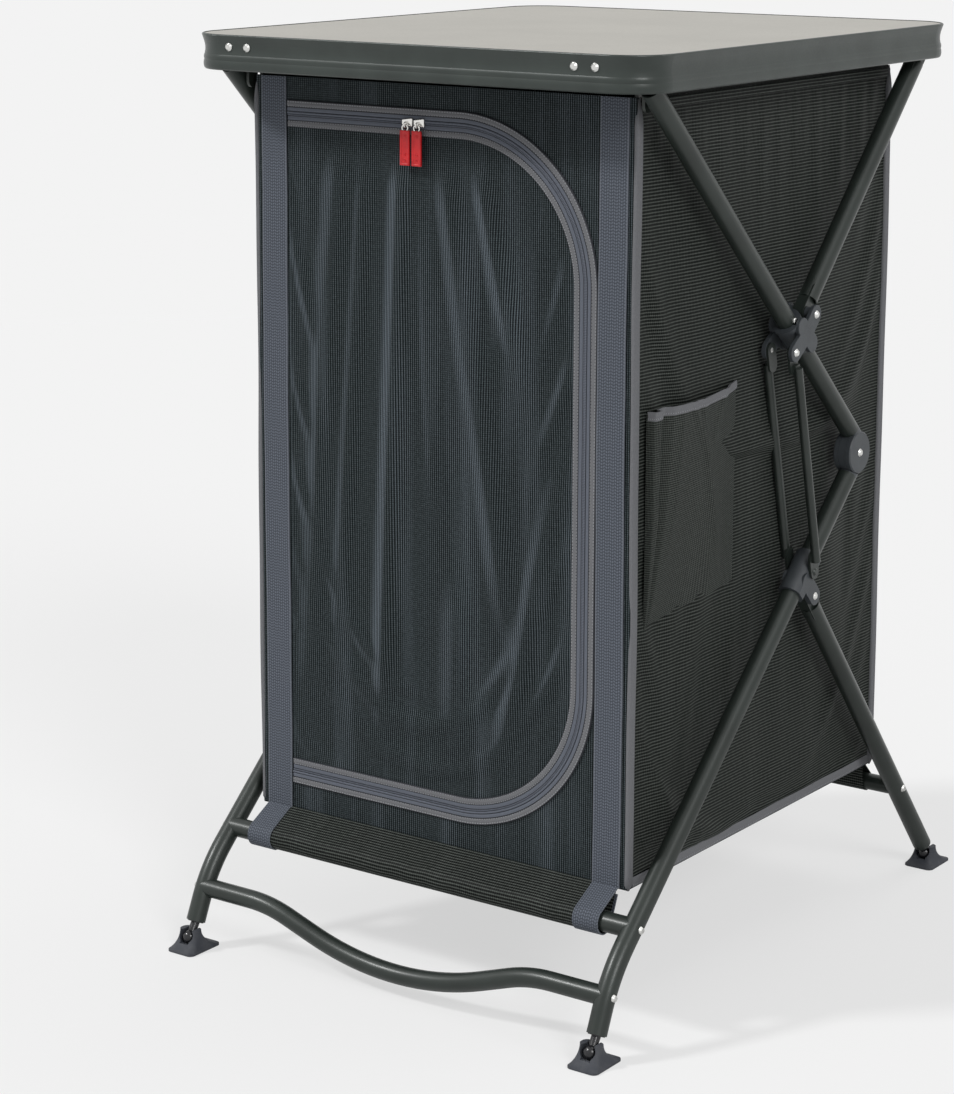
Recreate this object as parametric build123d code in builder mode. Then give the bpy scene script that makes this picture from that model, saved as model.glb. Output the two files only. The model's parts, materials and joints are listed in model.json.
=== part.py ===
from build123d import *
import math
import os

# Folding camping cupboard. Millimetres, +X right, +Y to the back, +Z up.
# The origin of the finished pieces is on the ground, midway between the feet.
# While the pieces are made, Y is measured from the centre of the table top.

# Table top
TABLE_W = 543.0
TABLE_D = 612.0
TABLE_H = 942.0
CORNER_R = 46.0
RIM_H = 35.4
RIM_LIP = 2.2
RIM_WALL = 1.6
RIM_GROOVE = 3.2
RIM_BEAD = 1.6
RIM_RIDGE = 1.3
RIM_RIVET_IN = (79.8, 57.0)
RIM_RIVET_UP = 23.3
CHANNEL_W = 36.0
CHANNEL_WEB = 1.6
EAR_T = 3.2
EAR_W = 14.0
EAR_DROP = 20.0
EAR_CLEAR = 2.5
EAR_PIN_R = 3.0
FORK_W = 22.0
FORK_T = 1.5
BLOCK_W = 80.0
BLOCK_CLEAR = 4.0
HANG_RAIL_T = 4.0
HANG_RAIL_LAP = 12.0
BOARD_T = 12.0
BOARD_DROP = 0.6
BOARD_GAP = 0.3
BOARD_STEP = 5.2
BOARD_SLOPE = 4.5
BOARD_EDGE_R = 0.8
RIM_Z = TABLE_H - RIM_H
BOARD_Z = TABLE_H - BOARD_DROP - BOARD_T
EAR_TOP = TABLE_H - EAR_DROP
RIM_RIVET_X = (TABLE_W / 2 - RIM_RIVET_IN[0], TABLE_W / 2 - RIM_RIVET_IN[1])

# Side frames: everything in them lies in one plane, FRAME_X from the middle
TUBE_R = 10.0
FRAME_X = TABLE_W / 2 - CHANNEL_W + EAR_CLEAR + TUBE_R
TUBE_WALL = 1.5
STACK = 24.5
PIN_R = 3.0
RUN = 0.06
GAP = 0.3
TONGUE_T = 12.0
TONGUE_R = 9.0
TONGUE_L = 28.0
TUBE_START = 16.0
ARM_STUB = 24.0
RIVET_R = 4.2
RIVET_H = 1.6
RIVET_SEAT = 0.8

# Pivots of the folding linkage as (y, z) in the frame plane
FRONT_PIVOT_IN = 61.5
FRONT_PIVOT_DROP = 49.5
REAR_PIVOT_IN = 42.8
REAR_PIVOT_DROP = 29.0
KNEE_BACK = 383.3
KNEE_DROP = 385.6
FRONT_PIVOT = (FRONT_PIVOT_IN - TABLE_D / 2, TABLE_H - FRONT_PIVOT_DROP)
REAR_PIVOT = (TABLE_D / 2 - REAR_PIVOT_IN, TABLE_H - REAR_PIVOT_DROP)
KNEE = (FRONT_PIVOT[0] + KNEE_BACK, FRONT_PIVOT[1] - KNEE_DROP)
ARM_ANGLE = 43.8
LEG_ANGLE = 42.47
COLLAR_ALONG = 351.2
KNEE_TO_ARM = 13.0
LINK_PIVOT_OFF = 26.4
LINK_PIVOT_ALONG = 346.2
LEG_LINK_ALONG = 144.7
REAR_LEG_ALONG = 158.0
FRONT_FOOT_Z = 28.0
REAR_FOOT_Z = 26.5
REAR_FOOT_OUT = 23.7
FRONT_BALL_OUT = 9.7
REAR_BALL_OUT = 7.9
BALL_Z = 13.5
FOOT_ANGLE = 66.0
LEG_CORNER_Z = 79.057
LEG_BEND_R = 150.0

# Collar and knuckles
COLLAR_R = 13.8
COLLAR_HALF = 20.0
PLATE_IN = 13.2
PLATE_OUT = 17.2
LOBE_R = 9.5
KNUCKLE_R = 22.0
KNUCKLE_GAP = 0.35
EDGE = 1.2
KNUCKLE_MID = 3.9
SPIGOT_L = 16.0
SPIGOT_CLEAR = 0.05
JOINT_R = 13.4
JOINT_FLAT = 12.2
LINK_X = 17.2
LINK_R = 4.6
LINK_TAB_IN = 10.6
LINK_LOW_IN = 12.6
LINK_TAB_T = 2.4
LINK_TAB_R = 7.5
BUTTON_R = 3.0
BUTTON_UP = 2.2
BUTTON_ALONG = 329.2

# Cross tubes and feet
CROSS_FRONT_BACK = 60.9
CROSS_REAR_ALONG = 339.0
CROSS_REAR_R = 9.0
BAR_R = 9.6
BAR_Z = 61.0
BAR_DIP_Z = 6.0
BAR_SHOULDER_IN = 87.0
BAR_SHOULDER_R = 150.0
BAR_DIP_R = 320.0
PAD_W = 34.0
PAD_L = 48.0
PAD_BACK = 6.0
PAD_T = 2.0
PAD_TOP = 22.0
PAD_CORNER_R = 6.0
CUP_W = 23.0
CUP_L = 14.0
CUP_BACK = 1.5
CUP_MOUTH_R = 8.6
BALL_R = 7.5
BALL_CLEAR = 0.15
STEM_R = 4.6
STEM_CLEAR = 1.0

# Fabric body
BODY_CLEAR = 10.2
BODY_FRONT_IN = 57.6
BODY_BACK_IN = 61.4
BODY_DROP = 43.0
BODY_W = TABLE_W - 2 * (CHANNEL_W + BODY_CLEAR)
FRONT_Y = BODY_FRONT_IN - TABLE_D / 2
BACK_Y = TABLE_D / 2 - BODY_BACK_IN
BODY_Z = 140.0
BODY_TOP = TABLE_H - BODY_DROP
CLOTH = 1.2
SHELF_T = 6.0
SHELF_Z = 520.0
STRAP_W = 31.0
STRAP_T = 1.4
STRAP_IN = 23.3
STRAP_X = BODY_W / 2 - STRAP_IN
BINDING_W = 8.0
BINDING_T = 1.6
DOOR_HINGE_IN = 41.3
DOOR_ZIP_IN = 39.8
DOOR_TOP_IN = 23.0
DOOR_FOOT_IN = 28.0
DOOR_LEFT = DOOR_HINGE_IN - BODY_W / 2
DOOR_RIGHT = BODY_W / 2 - DOOR_ZIP_IN
DOOR_TOP = BODY_TOP - DOOR_TOP_IN
DOOR_BOTTOM = BODY_Z + DOOR_FOOT_IN
DOOR_R = 160.0
ZIP_W = 27.0
ZIP_T = 1.6
SLIDER_X = (-34.0, -20.0)
SLIDER_W = 13.0
SLIDER_L = 9.0
SLIDER_H = 3.0
SLIDER_CORNER_R = 2.5
NOSE_R = 2.6
NOSE_H = 4.6
NOSE_DROP = 3.0
PULL_PIN_R = 1.1
PULL_PIN_HALF = 5.0
PULL_AXIS_OUT = 5.5
PULL_DROP = 4.6
PULL_L = 34.0
PULL_W = 11.0
PULL_T = 2.6
PULL_ARM_W = 1.6
PULL_ARM_X = 4.1
PULL_ARM_UP = 2.0
POCKET_IN = (20.0, 184.0)
POCKET_Y = (FRONT_Y + POCKET_IN[0], FRONT_Y + POCKET_IN[1])
POCKET_Z = (392.0, 604.0)
POCKET_OUT = 16.0
SLEEVE_CLEAR = 0.2
SLEEVE_GAP = 2.0
REAR_SLEEVE_IN = 34.0
REAR_SLEEVE_HALF = FRAME_X - REAR_SLEEVE_IN


def turned(angle):
    """Unit (y, z) vector at an angle in degrees above the +Y direction."""
    return (math.cos(math.radians(angle)), math.sin(math.radians(angle)))


def along(start, direction, distance, normal=(0.0, 0.0), off=0.0):
    """Point a distance along a direction from start, moved off sideways."""
    return (
        start[0] + direction[0] * distance + normal[0] * off,
        start[1] + direction[1] * distance + normal[1] * off,
    )


def gap_between(a, b):
    return math.hypot(b[0] - a[0], b[1] - a[1])


def toward(a, b):
    length = gap_between(a, b)
    return ((b[0] - a[0]) / length, (b[1] - a[1]) / length)


# Directions in the frame plane, and the pivots that follow from them
ARM = turned(-ARM_ANGLE)
ARM_UP = turned(90 - ARM_ANGLE)
LEG = turned(180 + LEG_ANGLE)
LEG_DOWN = turned(LEG_ANGLE - 90)
KNEE_TO_LEG = STACK - KNEE_TO_ARM
LEG_TOP = along(KNEE, LEG_DOWN, KNEE_TO_LEG)
STRUT_PIVOT = along(FRONT_PIVOT, ARM, COLLAR_ALONG, ARM_UP, STACK)
LINK_TOP = along(FRONT_PIVOT, ARM, LINK_PIVOT_ALONG, ARM_UP, -LINK_PIVOT_OFF)
LINK_LOW = along(LEG_TOP, LEG, LEG_LINK_ALONG)
REAR_LEG_PIVOT = along(LEG_TOP, LEG, REAR_LEG_ALONG, LEG_DOWN, STACK)
STRUT = toward(REAR_PIVOT, STRUT_PIVOT)
LINK = toward(LINK_TOP, LINK_LOW)
ARM_END = (KNEE[0] - FRONT_PIVOT[0]) * ARM[0] + (KNEE[1] - FRONT_PIVOT[1]) * ARM[1]
FOOT_UP = turned(FOOT_ANGLE)
FOOT_LEAN = FOOT_UP[0] / FOOT_UP[1]
# Corner where the straight leg line meets the line up from the foot
LEG_CORNER = along(LEG_TOP, LEG, (LEG_CORNER_Z - LEG_TOP[1]) / LEG[1])
FRONT_FOOT = (LEG_CORNER[0] - (LEG_CORNER_Z - FRONT_FOOT_Z) * FOOT_LEAN, FRONT_FOOT_Z)
REAR_FOOT = (TABLE_D / 2 + REAR_FOOT_OUT, REAR_FOOT_Z)
FRONT_BALL = (FRONT_FOOT[0] - FRONT_BALL_OUT, BALL_Z)
REAR_BALL = (REAR_FOOT[0] + REAR_BALL_OUT, BALL_Z)
REAR_LEG = toward(REAR_LEG_PIVOT, REAR_FOOT)
CROSS_ALONG = (FRONT_FOOT[0] + CROSS_FRONT_BACK - LEG_TOP[0]) / LEG[0]
CROSS_FRONT = along(LEG_TOP, LEG, CROSS_ALONG)
CROSS_REAR = along(REAR_LEG_PIVOT, REAR_LEG, CROSS_REAR_ALONG)
BAR_Y = FRONT_FOOT[0] + (BAR_Z - FRONT_FOOT_Z) * FOOT_LEAN
BAR_SHOULDER_X = FRAME_X - BAR_SHOULDER_IN

LINK_PIN_R = PIN_R - 0.5
KNEE_PIN_R = PIN_R + 0.5
FEET_MIDDLE_Y = (FRONT_BALL[0] + REAR_BALL[0]) / 2 + PAD_BACK
UPRIGHT = (Align.CENTER, Align.CENTER, Align.MIN)

os.makedirs("parts", exist_ok=True)


def save(part, name):
    placed = part.moved(Location((0, -FEET_MIDDLE_Y, 0)))
    placed.label = name
    export_step(placed, f"parts/{name}.step")


def side_plane(x=FRAME_X):
    """Plane of a side frame: local x is Y, local y is Z, its normal is +X."""
    return Plane.YZ.offset(x)


def across(point, direction, x=FRAME_X):
    """Plane at a point of the frame, square to a direction in the frame."""
    return Plane(origin=(x, point[0], point[1]), x_dir=(1, 0, 0), z_dir=(0, *direction))


def both_sides(part, name):
    """Write the right-hand piece and its mirror image on the left."""
    save(part, f"{name}_right")
    with BuildPart() as other:
        mirror(part, about=Plane.YZ)
    save(other.part, f"{name}_left")


def pair(part):
    """The right-hand piece and its mirror image as one group."""
    with BuildPart() as group:
        add(part)
        mirror(part, about=Plane.YZ)
    return group.part


# Table top

def table_outline(inset, mode=Mode.ADD):
    """Rounded rectangle a distance inside the table's edge, in the caller's sketch."""
    size = (TABLE_W - 2 * inset, TABLE_D - 2 * inset)
    RectangleRounded(*size, CORNER_R - inset, mode=mode)


def rim_section():
    """Section of the rim rail: x outward from the outer face, y up from its foot."""
    ridge = -RIM_RIDGE
    groove = -RIM_GROOVE
    inner = groove - RIM_WALL
    web = RIM_H - BOARD_DROP - BOARD_T
    with BuildLine() as outline:
        foot = Line((groove, 0), (ridge - 0.7, 1.2))
        low_ridge = ThreePointArc(foot @ 1, (ridge, 5.4), (ridge - 0.7, 9.4))
        high_ridge = ThreePointArc(low_ridge @ 1, (ridge - 0.3, 12.2), (ridge - 1.2, 15.2))
        hollow = ThreePointArc(high_ridge @ 1, (groove, 20.5), (ridge - 0.9, 27.0))
        slope = TangentArc(hollow @ 1, (0, RIM_H - RIM_BEAD), tangent=hollow % 1)
        middle = RIM_BEAD * (1 - math.sqrt(0.5))
        bead = ThreePointArc(slope @ 1, (-middle, RIM_H - middle), (-RIM_BEAD, RIM_H))
        Polyline(
            bead @ 1,
            (-RIM_LIP, RIM_H),
            (-RIM_LIP, web + BOARD_STEP + BOARD_SLOPE),
            (inner, web + BOARD_STEP),
            (inner, web),
            (-CHANNEL_W, web),
            (-CHANNEL_W, 0),
            (-CHANNEL_W + CHANNEL_WEB, 0),
            (-CHANNEL_W + CHANNEL_WEB, web - CHANNEL_WEB),
            (inner, web - CHANNEL_WEB),
            (inner, 0),
            foot @ 0,
        )
    return outline.edges()


def rim_rivet_seats():
    """Planes of the rivets' seats in the front and back rails, facing out."""
    seats = []
    for face in (-1, 1):
        for x in (-RIM_RIVET_X[1], -RIM_RIVET_X[0], RIM_RIVET_X[0], RIM_RIVET_X[1]):
            y = face * (TABLE_D / 2 - RIM_GROOVE)
            seats.append(Plane(origin=(x, y, RIM_Z + RIM_RIVET_UP), z_dir=(0, face, 0)))
    return seats


def make_rim():
    half = (TABLE_W / 2, TABLE_D / 2)
    straight = (half[0] - CORNER_R, half[1] - CORNER_R)
    section = rim_section()
    with BuildPart() as rim:
        for turn in range(4):
            reach = half[1] if turn % 2 == 0 else half[0]
            run = straight[0] if turn % 2 == 0 else straight[1]
            outward = Vector(0, -1, 0).rotate(Axis.Z, 90 * turn)
            side = Vector(1, 0, 0).rotate(Axis.Z, 90 * turn)
            start = outward * reach - side * run + Vector(0, 0, RIM_Z)
            with BuildSketch(Plane(origin=start, x_dir=outward, z_dir=side * -1)):
                make_face(section)
            extrude(amount=-2 * run)
            end = outward * reach + side * run + Vector(0, 0, RIM_Z)
            centre = outward * (reach - CORNER_R) + side * run
            with BuildSketch(Plane(origin=end, x_dir=outward, z_dir=side * -1)):
                make_face(section)
            revolve(axis=Axis(centre, (0, 0, 1)), revolution_arc=90)
        for seat in rim_rivet_seats():
            with Locations(seat):
                Cylinder(RIVET_R, RIM_GROOVE + 1, align=UPRIGHT, mode=Mode.SUBTRACT)
    return rim.part


def make_board():
    """Board whose edge leans out over the rail up to a thin lip."""
    low = RIM_GROOVE + RIM_WALL + BOARD_GAP
    high = RIM_LIP + BOARD_GAP
    step_z = BOARD_Z + BOARD_STEP
    slope_z = step_z + BOARD_SLOPE
    with BuildPart() as board:
        with BuildSketch(Plane.XY.offset(BOARD_Z)):
            table_outline(low)
        extrude(amount=BOARD_STEP)
        with BuildSketch(Plane.XY.offset(step_z)):
            table_outline(low)
        with BuildSketch(Plane.XY.offset(slope_z)):
            table_outline(high)
        loft(ruled=True)
        with BuildSketch(Plane.XY.offset(slope_z)):
            table_outline(high)
        extrude(amount=BOARD_T - BOARD_STEP - BOARD_SLOPE)
        fillet(board.edges().group_by(Axis.Z)[-1], BOARD_EDGE_R)
    return board.part


def make_corner_blocks():
    """Blocks in the four corners of the rail, behind the rear struts' forks."""
    outer = RIM_GROOVE + RIM_WALL + GAP
    inner = CHANNEL_W - CHANNEL_WEB - GAP
    depth = TABLE_D / 2 - REAR_PIVOT[0] - FORK_W / 2 - BLOCK_CLEAR
    with BuildPart() as blocks:
        with BuildSketch(Plane.XY.offset(RIM_Z + GAP)):
            table_outline(outer)
            table_outline(inner, mode=Mode.SUBTRACT)
            with GridLocations(TABLE_W - BLOCK_W, TABLE_D - depth, 2, 2):
                Rectangle(BLOCK_W, depth, mode=Mode.INTERSECT)
        extrude(amount=BOARD_Z - CHANNEL_WEB - RIM_Z - GAP)
    return blocks.part


def make_rim_rivets():
    with BuildPart() as rivets:
        for seat in rim_rivet_seats():
            with Locations(seat):
                Cylinder(RIVET_R, RIVET_SEAT, align=UPRIGHT)
            with Locations(seat.offset(RIVET_SEAT)):
                Cone(RIVET_R, 0.6 * RIVET_R, RIVET_H, align=UPRIGHT)
    return rivets.part


def make_front_ears():
    """Ears that hold the front arms' top pivots, on the channel's inner wall."""
    face = TABLE_W / 2 - CHANNEL_W
    with BuildPart() as ear:
        with BuildSketch(side_plane(face - EAR_T)):
            strap_outline(FRONT_PIVOT, (0, 1), EAR_TOP - FRONT_PIVOT[1] - EAR_W / 2, EAR_W / 2)
        extrude(amount=EAR_T)
        pin(FRONT_PIVOT, EAR_PIN_R, face - FRAME_X, -TUBE_R - GAP)
    return pair(ear.part)


def make_rear_brackets():
    """Forks inside the channel that carry the rear struts' top pins."""
    inner = TONGUE_T / 2 + GAP
    top = BOARD_Z - CHANNEL_WEB
    foot = RIM_Z + FORK_T
    mid = (top + foot) / 2
    with BuildPart() as fork:
        with BuildSketch(side_plane(FRAME_X)):
            with Locations((REAR_PIVOT[0], mid)):
                Rectangle(FORK_W, top - foot)
        extrude(amount=inner + FORK_T, both=True)
        with BuildSketch(side_plane(FRAME_X)):
            with Locations((REAR_PIVOT[0], mid - FORK_T)):
                Rectangle(FORK_W + 1, top - foot)
        extrude(amount=inner, both=True, mode=Mode.SUBTRACT)
        with BuildSketch(side_plane(FRAME_X)):
            with Locations(REAR_PIVOT):
                Circle(PIN_R)
        extrude(amount=inner + FORK_T, both=True)
    return pair(fork.part)


def make_hanging_rails():
    """Flat bars under the board, down inside the top hem of the fabric body."""
    foot = BODY_TOP - HANG_RAIL_LAP
    with BuildPart() as rail:
        with BuildSketch(Plane.XY.offset(foot)):
            with Locations((BODY_W / 2 - CLOTH - HANG_RAIL_T / 2 - RUN, (FRONT_Y + BACK_Y) / 2)):
                Rectangle(HANG_RAIL_T, BACK_Y - FRONT_Y - 2 * HANG_RAIL_T)
        extrude(amount=BOARD_Z - foot)
    return pair(rail.part)


# Side frames

def rod(start, direction, radius, length, mode=Mode.ADD, x=FRAME_X):
    """Cylinder along a direction of the frame plane, in the caller's part."""
    with Locations(across(start, direction, x)):
        Cylinder(radius, length, align=UPRIGHT, mode=mode)


def tube(start, direction, length):
    rod(start, direction, TUBE_R, length)
    rod(start, direction, TUBE_R - TUBE_WALL, length, mode=Mode.SUBTRACT)


def pin(point, radius, inner, outer, side=1, mode=Mode.ADD):
    """Cylinder along X from inner to outer, measured from the frame plane."""
    start = Plane(origin=(FRAME_X + side * inner, *point), z_dir=(side, 0, 0))
    with Locations(start):
        Cylinder(radius, outer - inner, align=UPRIGHT, mode=mode)


def coned_cap(point, x, side, wide, narrow, height):
    with Locations(Plane(origin=(x, *point), z_dir=(side, 0, 0))):
        Cone(wide, narrow, height, align=UPRIGHT)


def bore(point, radius, half):
    """Cross hole through the frame plane."""
    pin(point, radius, -half, half, mode=Mode.SUBTRACT)


def strap_outline(start, direction, length, radius):
    """Round-ended strap in the caller's sketch, from start along a direction."""
    angle = math.degrees(math.atan2(direction[1], direction[0]))
    with Locations(along(start, direction, length / 2)):
        SlotCenterToCenter(length, 2 * radius, rotation=angle)


def make_rear_strut():
    length = gap_between(REAR_PIVOT, STRUT_PIVOT)
    back = (-STRUT[0], -STRUT[1])
    with BuildPart() as strut:
        tube(along(REAR_PIVOT, STRUT, TUBE_START), STRUT, length - 2 * TUBE_START)
        with BuildSketch(side_plane()):
            strap_outline(REAR_PIVOT, STRUT, TONGUE_L, TONGUE_R - 0.5)
            strap_outline(STRUT_PIVOT, back, TONGUE_L, TONGUE_R)
        extrude(amount=TONGUE_T / 2, both=True)
        bore(REAR_PIVOT, PIN_R + RUN, TONGUE_T)
        bore(STRUT_PIVOT, PIN_R + RUN, TONGUE_T)
    return strut.part


def make_front_arm():
    end = ARM_END - KNUCKLE_R
    with BuildPart() as arm:
        tube(along(FRONT_PIVOT, ARM, -ARM_STUB), ARM, end + ARM_STUB)
        with BuildSketch(Plane.XY.offset(RIM_Z - 2 * GAP)):
            with Locations((FRAME_X, FRONT_PIVOT[0])):
                Rectangle(6 * TUBE_R, 12 * TUBE_R)
        extrude(amount=6 * TUBE_R, mode=Mode.SUBTRACT)
        button = along(FRONT_PIVOT, ARM, BUTTON_ALONG)
        pin(button, BUTTON_R + 0.15, 0, TUBE_R + 2, mode=Mode.SUBTRACT)
    return arm.part


def make_snap_button():
    """Sprung button on its folded leaf, inside the arm behind the collar rim."""
    spot = along(FRONT_PIVOT, ARM, BUTTON_ALONG)
    leaf = 0.8
    seat = FRAME_X + TUBE_R - TUBE_WALL - 3.4
    with BuildPart() as button:
        with BuildSketch(side_plane(seat)):
            with Locations(spot):
                Circle(BUTTON_R)
        extrude(amount=FRAME_X + TUBE_R + BUTTON_UP - seat)
        fillet(button.edges().filter_by(GeomType.CIRCLE).sort_by(Axis.X)[-1], 1.2)
        with BuildSketch(across(along(FRONT_PIVOT, ARM, BUTTON_ALONG - 6), ARM)):
            with Locations((seat - FRAME_X, 0)):
                Rectangle(leaf, 6)
        extrude(amount=40)
        with BuildSketch(across(along(FRONT_PIVOT, ARM, BUTTON_ALONG + 33), ARM)):
            with Locations((seat - FRAME_X - 4, 0)):
                Rectangle(8, 6)
        extrude(amount=leaf)
    return button.part


def plate_lobe(centre, tip):
    strap_outline(centre, toward(centre, tip), gap_between(centre, tip), LOBE_R)


def make_collar():
    """Sliding collar: barrel round the arm, cheek plates for strut and links."""
    centre = along(FRONT_PIVOT, ARM, COLLAR_ALONG)
    tail = along(FRONT_PIVOT, ARM, COLLAR_ALONG + 15)
    head = along(FRONT_PIVOT, ARM, COLLAR_ALONG - COLLAR_HALF)
    with BuildPart() as collar:
        with BuildSketch(across(head, ARM)):
            Circle(COLLAR_R)
        extrude(amount=2 * COLLAR_HALF)
        with BuildSketch(across(head, ARM)):
            Circle(COLLAR_R + 1.6)
        extrude(amount=5)
        for face in (PLATE_IN, -PLATE_OUT):
            with BuildSketch(side_plane(FRAME_X + face)):
                plate_lobe(centre, STRUT_PIVOT)
                plate_lobe(centre, LINK_TOP)
                plate_lobe(centre, tail)
                plate_lobe(centre, along(FRONT_PIVOT, ARM, COLLAR_ALONG - 12))
            extrude(amount=PLATE_OUT - PLATE_IN)
        for face in (TONGUE_T / 2 + GAP, -PLATE_IN):
            with BuildSketch(side_plane(FRAME_X + face)):
                with Locations(STRUT_PIVOT):
                    Circle(7)
            extrude(amount=PLATE_IN - TONGUE_T / 2 - GAP)
        with BuildSketch(across(head, ARM)):
            Circle(TUBE_R + RUN)
            with Locations((TUBE_R, 0)):
                Rectangle(2 * (BUTTON_UP + 0.6), 2 * BUTTON_R + 1.2)
        extrude(amount=2 * COLLAR_HALF, mode=Mode.SUBTRACT)
        bore(STRUT_PIVOT, PIN_R + RUN, PLATE_OUT + 1)
        bore(LINK_TOP, LINK_PIN_R + RUN, PLATE_OUT + 1)
        edges = collar.faces().filter_by(Axis.X).sort_by(Axis.X)[-1].outer_wire().edges()
        fillet(edges, 0.8)
    return collar.part


def rivet_head(point, x, side, radius=RIVET_R, height=RIVET_H):
    """Coned head on a face square to X, standing out towards side."""
    coned_cap(point, x, side, radius, 0.65 * radius, height)


def make_collar_rivets():
    with BuildPart() as rivets:
        pin(STRUT_PIVOT, PIN_R, -PLATE_OUT, PLATE_OUT)
        for side in (1, -1):
            rivet_head(STRUT_PIVOT, FRAME_X + side * PLATE_OUT, side)
            pin(LINK_TOP, LINK_PIN_R, LINK_TAB_IN, PLATE_OUT, side)
            rivet_head(LINK_TOP, FRAME_X + side * PLATE_OUT, side)
    return pair(rivets.part)


def knuckle_neck(start, direction, length):
    """Round neck from the knuckle to the tube, with its spigot inside the tube."""
    rod(start, direction, TUBE_R, length)
    rod(start, direction, TUBE_R - TUBE_WALL - SPIGOT_CLEAR, length + SPIGOT_L)


def make_upper_knuckle():
    axis_foot = along(FRONT_PIVOT, ARM, ARM_END)
    back = (-ARM[0], -ARM[1])
    inner = KNUCKLE_MID + KNUCKLE_GAP
    with BuildPart() as knuckle:
        knuckle_neck(axis_foot, back, KNUCKLE_R)
        pin(KNEE, KNUCKLE_R, EDGE - TUBE_R, TUBE_R - EDGE)
        for side in (1, -1):
            face = FRAME_X + side * (TUBE_R - EDGE)
            coned_cap(KNEE, face, side, KNUCKLE_R, KNUCKLE_R - EDGE, EDGE)
        pin(KNEE, KNUCKLE_R + KNUCKLE_GAP, -inner, inner, mode=Mode.SUBTRACT)
        bore(KNEE, KNEE_PIN_R + RUN, TUBE_R + 1)
    return knuckle.part


def make_lower_knuckle():
    neck = KNUCKLE_R + 1.0
    with BuildPart() as knuckle:
        knuckle_neck(LEG_TOP, LEG, neck)
        bore(KNEE, KNUCKLE_R + KNUCKLE_GAP, TUBE_R + 1)
        with BuildSketch(side_plane()):
            with Locations(KNEE):
                Circle(KNUCKLE_R - 0.2)
            with Locations(along(LEG_TOP, LEG, neck / 2)):
                Rectangle(neck, 14, rotation=LEG_ANGLE)
        extrude(amount=KNUCKLE_MID, both=True)
        bore(KNEE, KNEE_PIN_R + RUN, TUBE_R + 1)
    return knuckle.part


def make_knee_pins():
    with BuildPart() as pins:
        pin(KNEE, KNEE_PIN_R, -TUBE_R, TUBE_R)
        rivet_head(KNEE, FRAME_X + TUBE_R, 1)
        rivet_head(KNEE, FRAME_X - TUBE_R, -1)
    return pair(pins.part)


def leg_path():
    """Centre line of a front leg from the knuckle, round the bend, to the foot."""
    start = along(LEG_TOP, LEG, KNUCKLE_R + 1.0)
    with BuildLine(side_plane()) as path:
        FilletPolyline(start, LEG_CORNER, FRONT_FOOT, radius=LEG_BEND_R)
    return path.wire()


def make_front_leg():
    start = along(LEG_TOP, LEG, KNUCKLE_R + 1.0)
    path = leg_path()
    with BuildPart() as leg:
        with BuildSketch(across(start, LEG)):
            Circle(TUBE_R)
            Circle(TUBE_R - TUBE_WALL, mode=Mode.SUBTRACT)
        sweep(path=path)
        for spot in (CROSS_FRONT, (BAR_Y, BAR_Z)):
            pin(spot, RIVET_R, TUBE_R - RIVET_SEAT, TUBE_R + 1, mode=Mode.SUBTRACT)
    return leg.part


def leg_envelope():
    """Solid form of both front legs, for coping what meets them."""
    start = along(LEG_TOP, LEG, KNUCKLE_R + 1.0)
    path = leg_path()
    with BuildPart() as body:
        with BuildSketch(across(start, LEG)):
            Circle(TUBE_R + 0.02)
        sweep(path=path)
    return pair(body.part)


def make_leg_joint():
    """Moulded sleeve on the front leg with the rear leg's pivot lug."""
    low, high = LEG_LINK_ALONG - 18, REAR_LEG_ALONG + 18
    lug_root = along(LEG_TOP, LEG, REAR_LEG_ALONG)
    with BuildPart() as joint:
        rod(along(LEG_TOP, LEG, low), LEG, JOINT_R, high - low)
        with BuildSketch(side_plane()):
            plate_lobe(lug_root, REAR_LEG_PIVOT)
        extrude(amount=JOINT_FLAT, both=True)
        with BuildSketch(side_plane()):
            with Locations(along(LEG_TOP, LEG, (low + high) / 2, LEG_DOWN, 10)):
                Rectangle(high - low + 20, 80, rotation=LEG_ANGLE)
        extrude(amount=JOINT_FLAT, both=True, mode=Mode.INTERSECT)
        with BuildSketch(side_plane()):
            with Locations(along(LEG_TOP, LEG, REAR_LEG_ALONG, LEG_DOWN, JOINT_R + 25)):
                Rectangle(80, 50, rotation=LEG_ANGLE)
        extrude(amount=TONGUE_T / 2 + GAP, both=True, mode=Mode.SUBTRACT)
        rod(along(LEG_TOP, LEG, low - 1), LEG, TUBE_R + 0.03, high - low + 2, mode=Mode.SUBTRACT)
        bore(REAR_LEG_PIVOT, PIN_R + RUN, JOINT_FLAT + 1)
    return joint.part


def make_links():
    """Twin links each side, from the collar down past the leg joint."""
    length = gap_between(LINK_TOP, LINK_LOW)
    back = (-LINK[0], -LINK[1])
    angle = math.degrees(math.atan2(LINK[1], LINK[0]))
    with BuildPart() as links:
        for side in (1, -1):
            rod(along(LINK_TOP, LINK, 16), LINK, LINK_R, length - 28, x=FRAME_X + side * LINK_X)
            with BuildSketch(side_plane(FRAME_X + side * LINK_TAB_IN)):
                strap_outline(LINK_TOP, LINK, 16, LINK_TAB_R)
            extrude(amount=side * LINK_TAB_T)
            with BuildSketch(side_plane(FRAME_X + side * LINK_TAB_IN)):
                with Locations(along(LINK_TOP, LINK, 17)):
                    Rectangle(8, 8, rotation=angle)
            extrude(amount=side * (LINK_X - LINK_TAB_IN))
            with BuildSketch(side_plane(FRAME_X + side * LINK_LOW_IN)):
                strap_outline(LINK_LOW, back, 16, LINK_TAB_R)
            extrude(amount=side * LINK_TAB_T)
            rivet_head(LINK_LOW, FRAME_X + side * (LINK_LOW_IN + LINK_TAB_T), side)
        bore(LINK_TOP, LINK_PIN_R + RUN, PLATE_OUT + 1)
    return pair(links.part)


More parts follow.
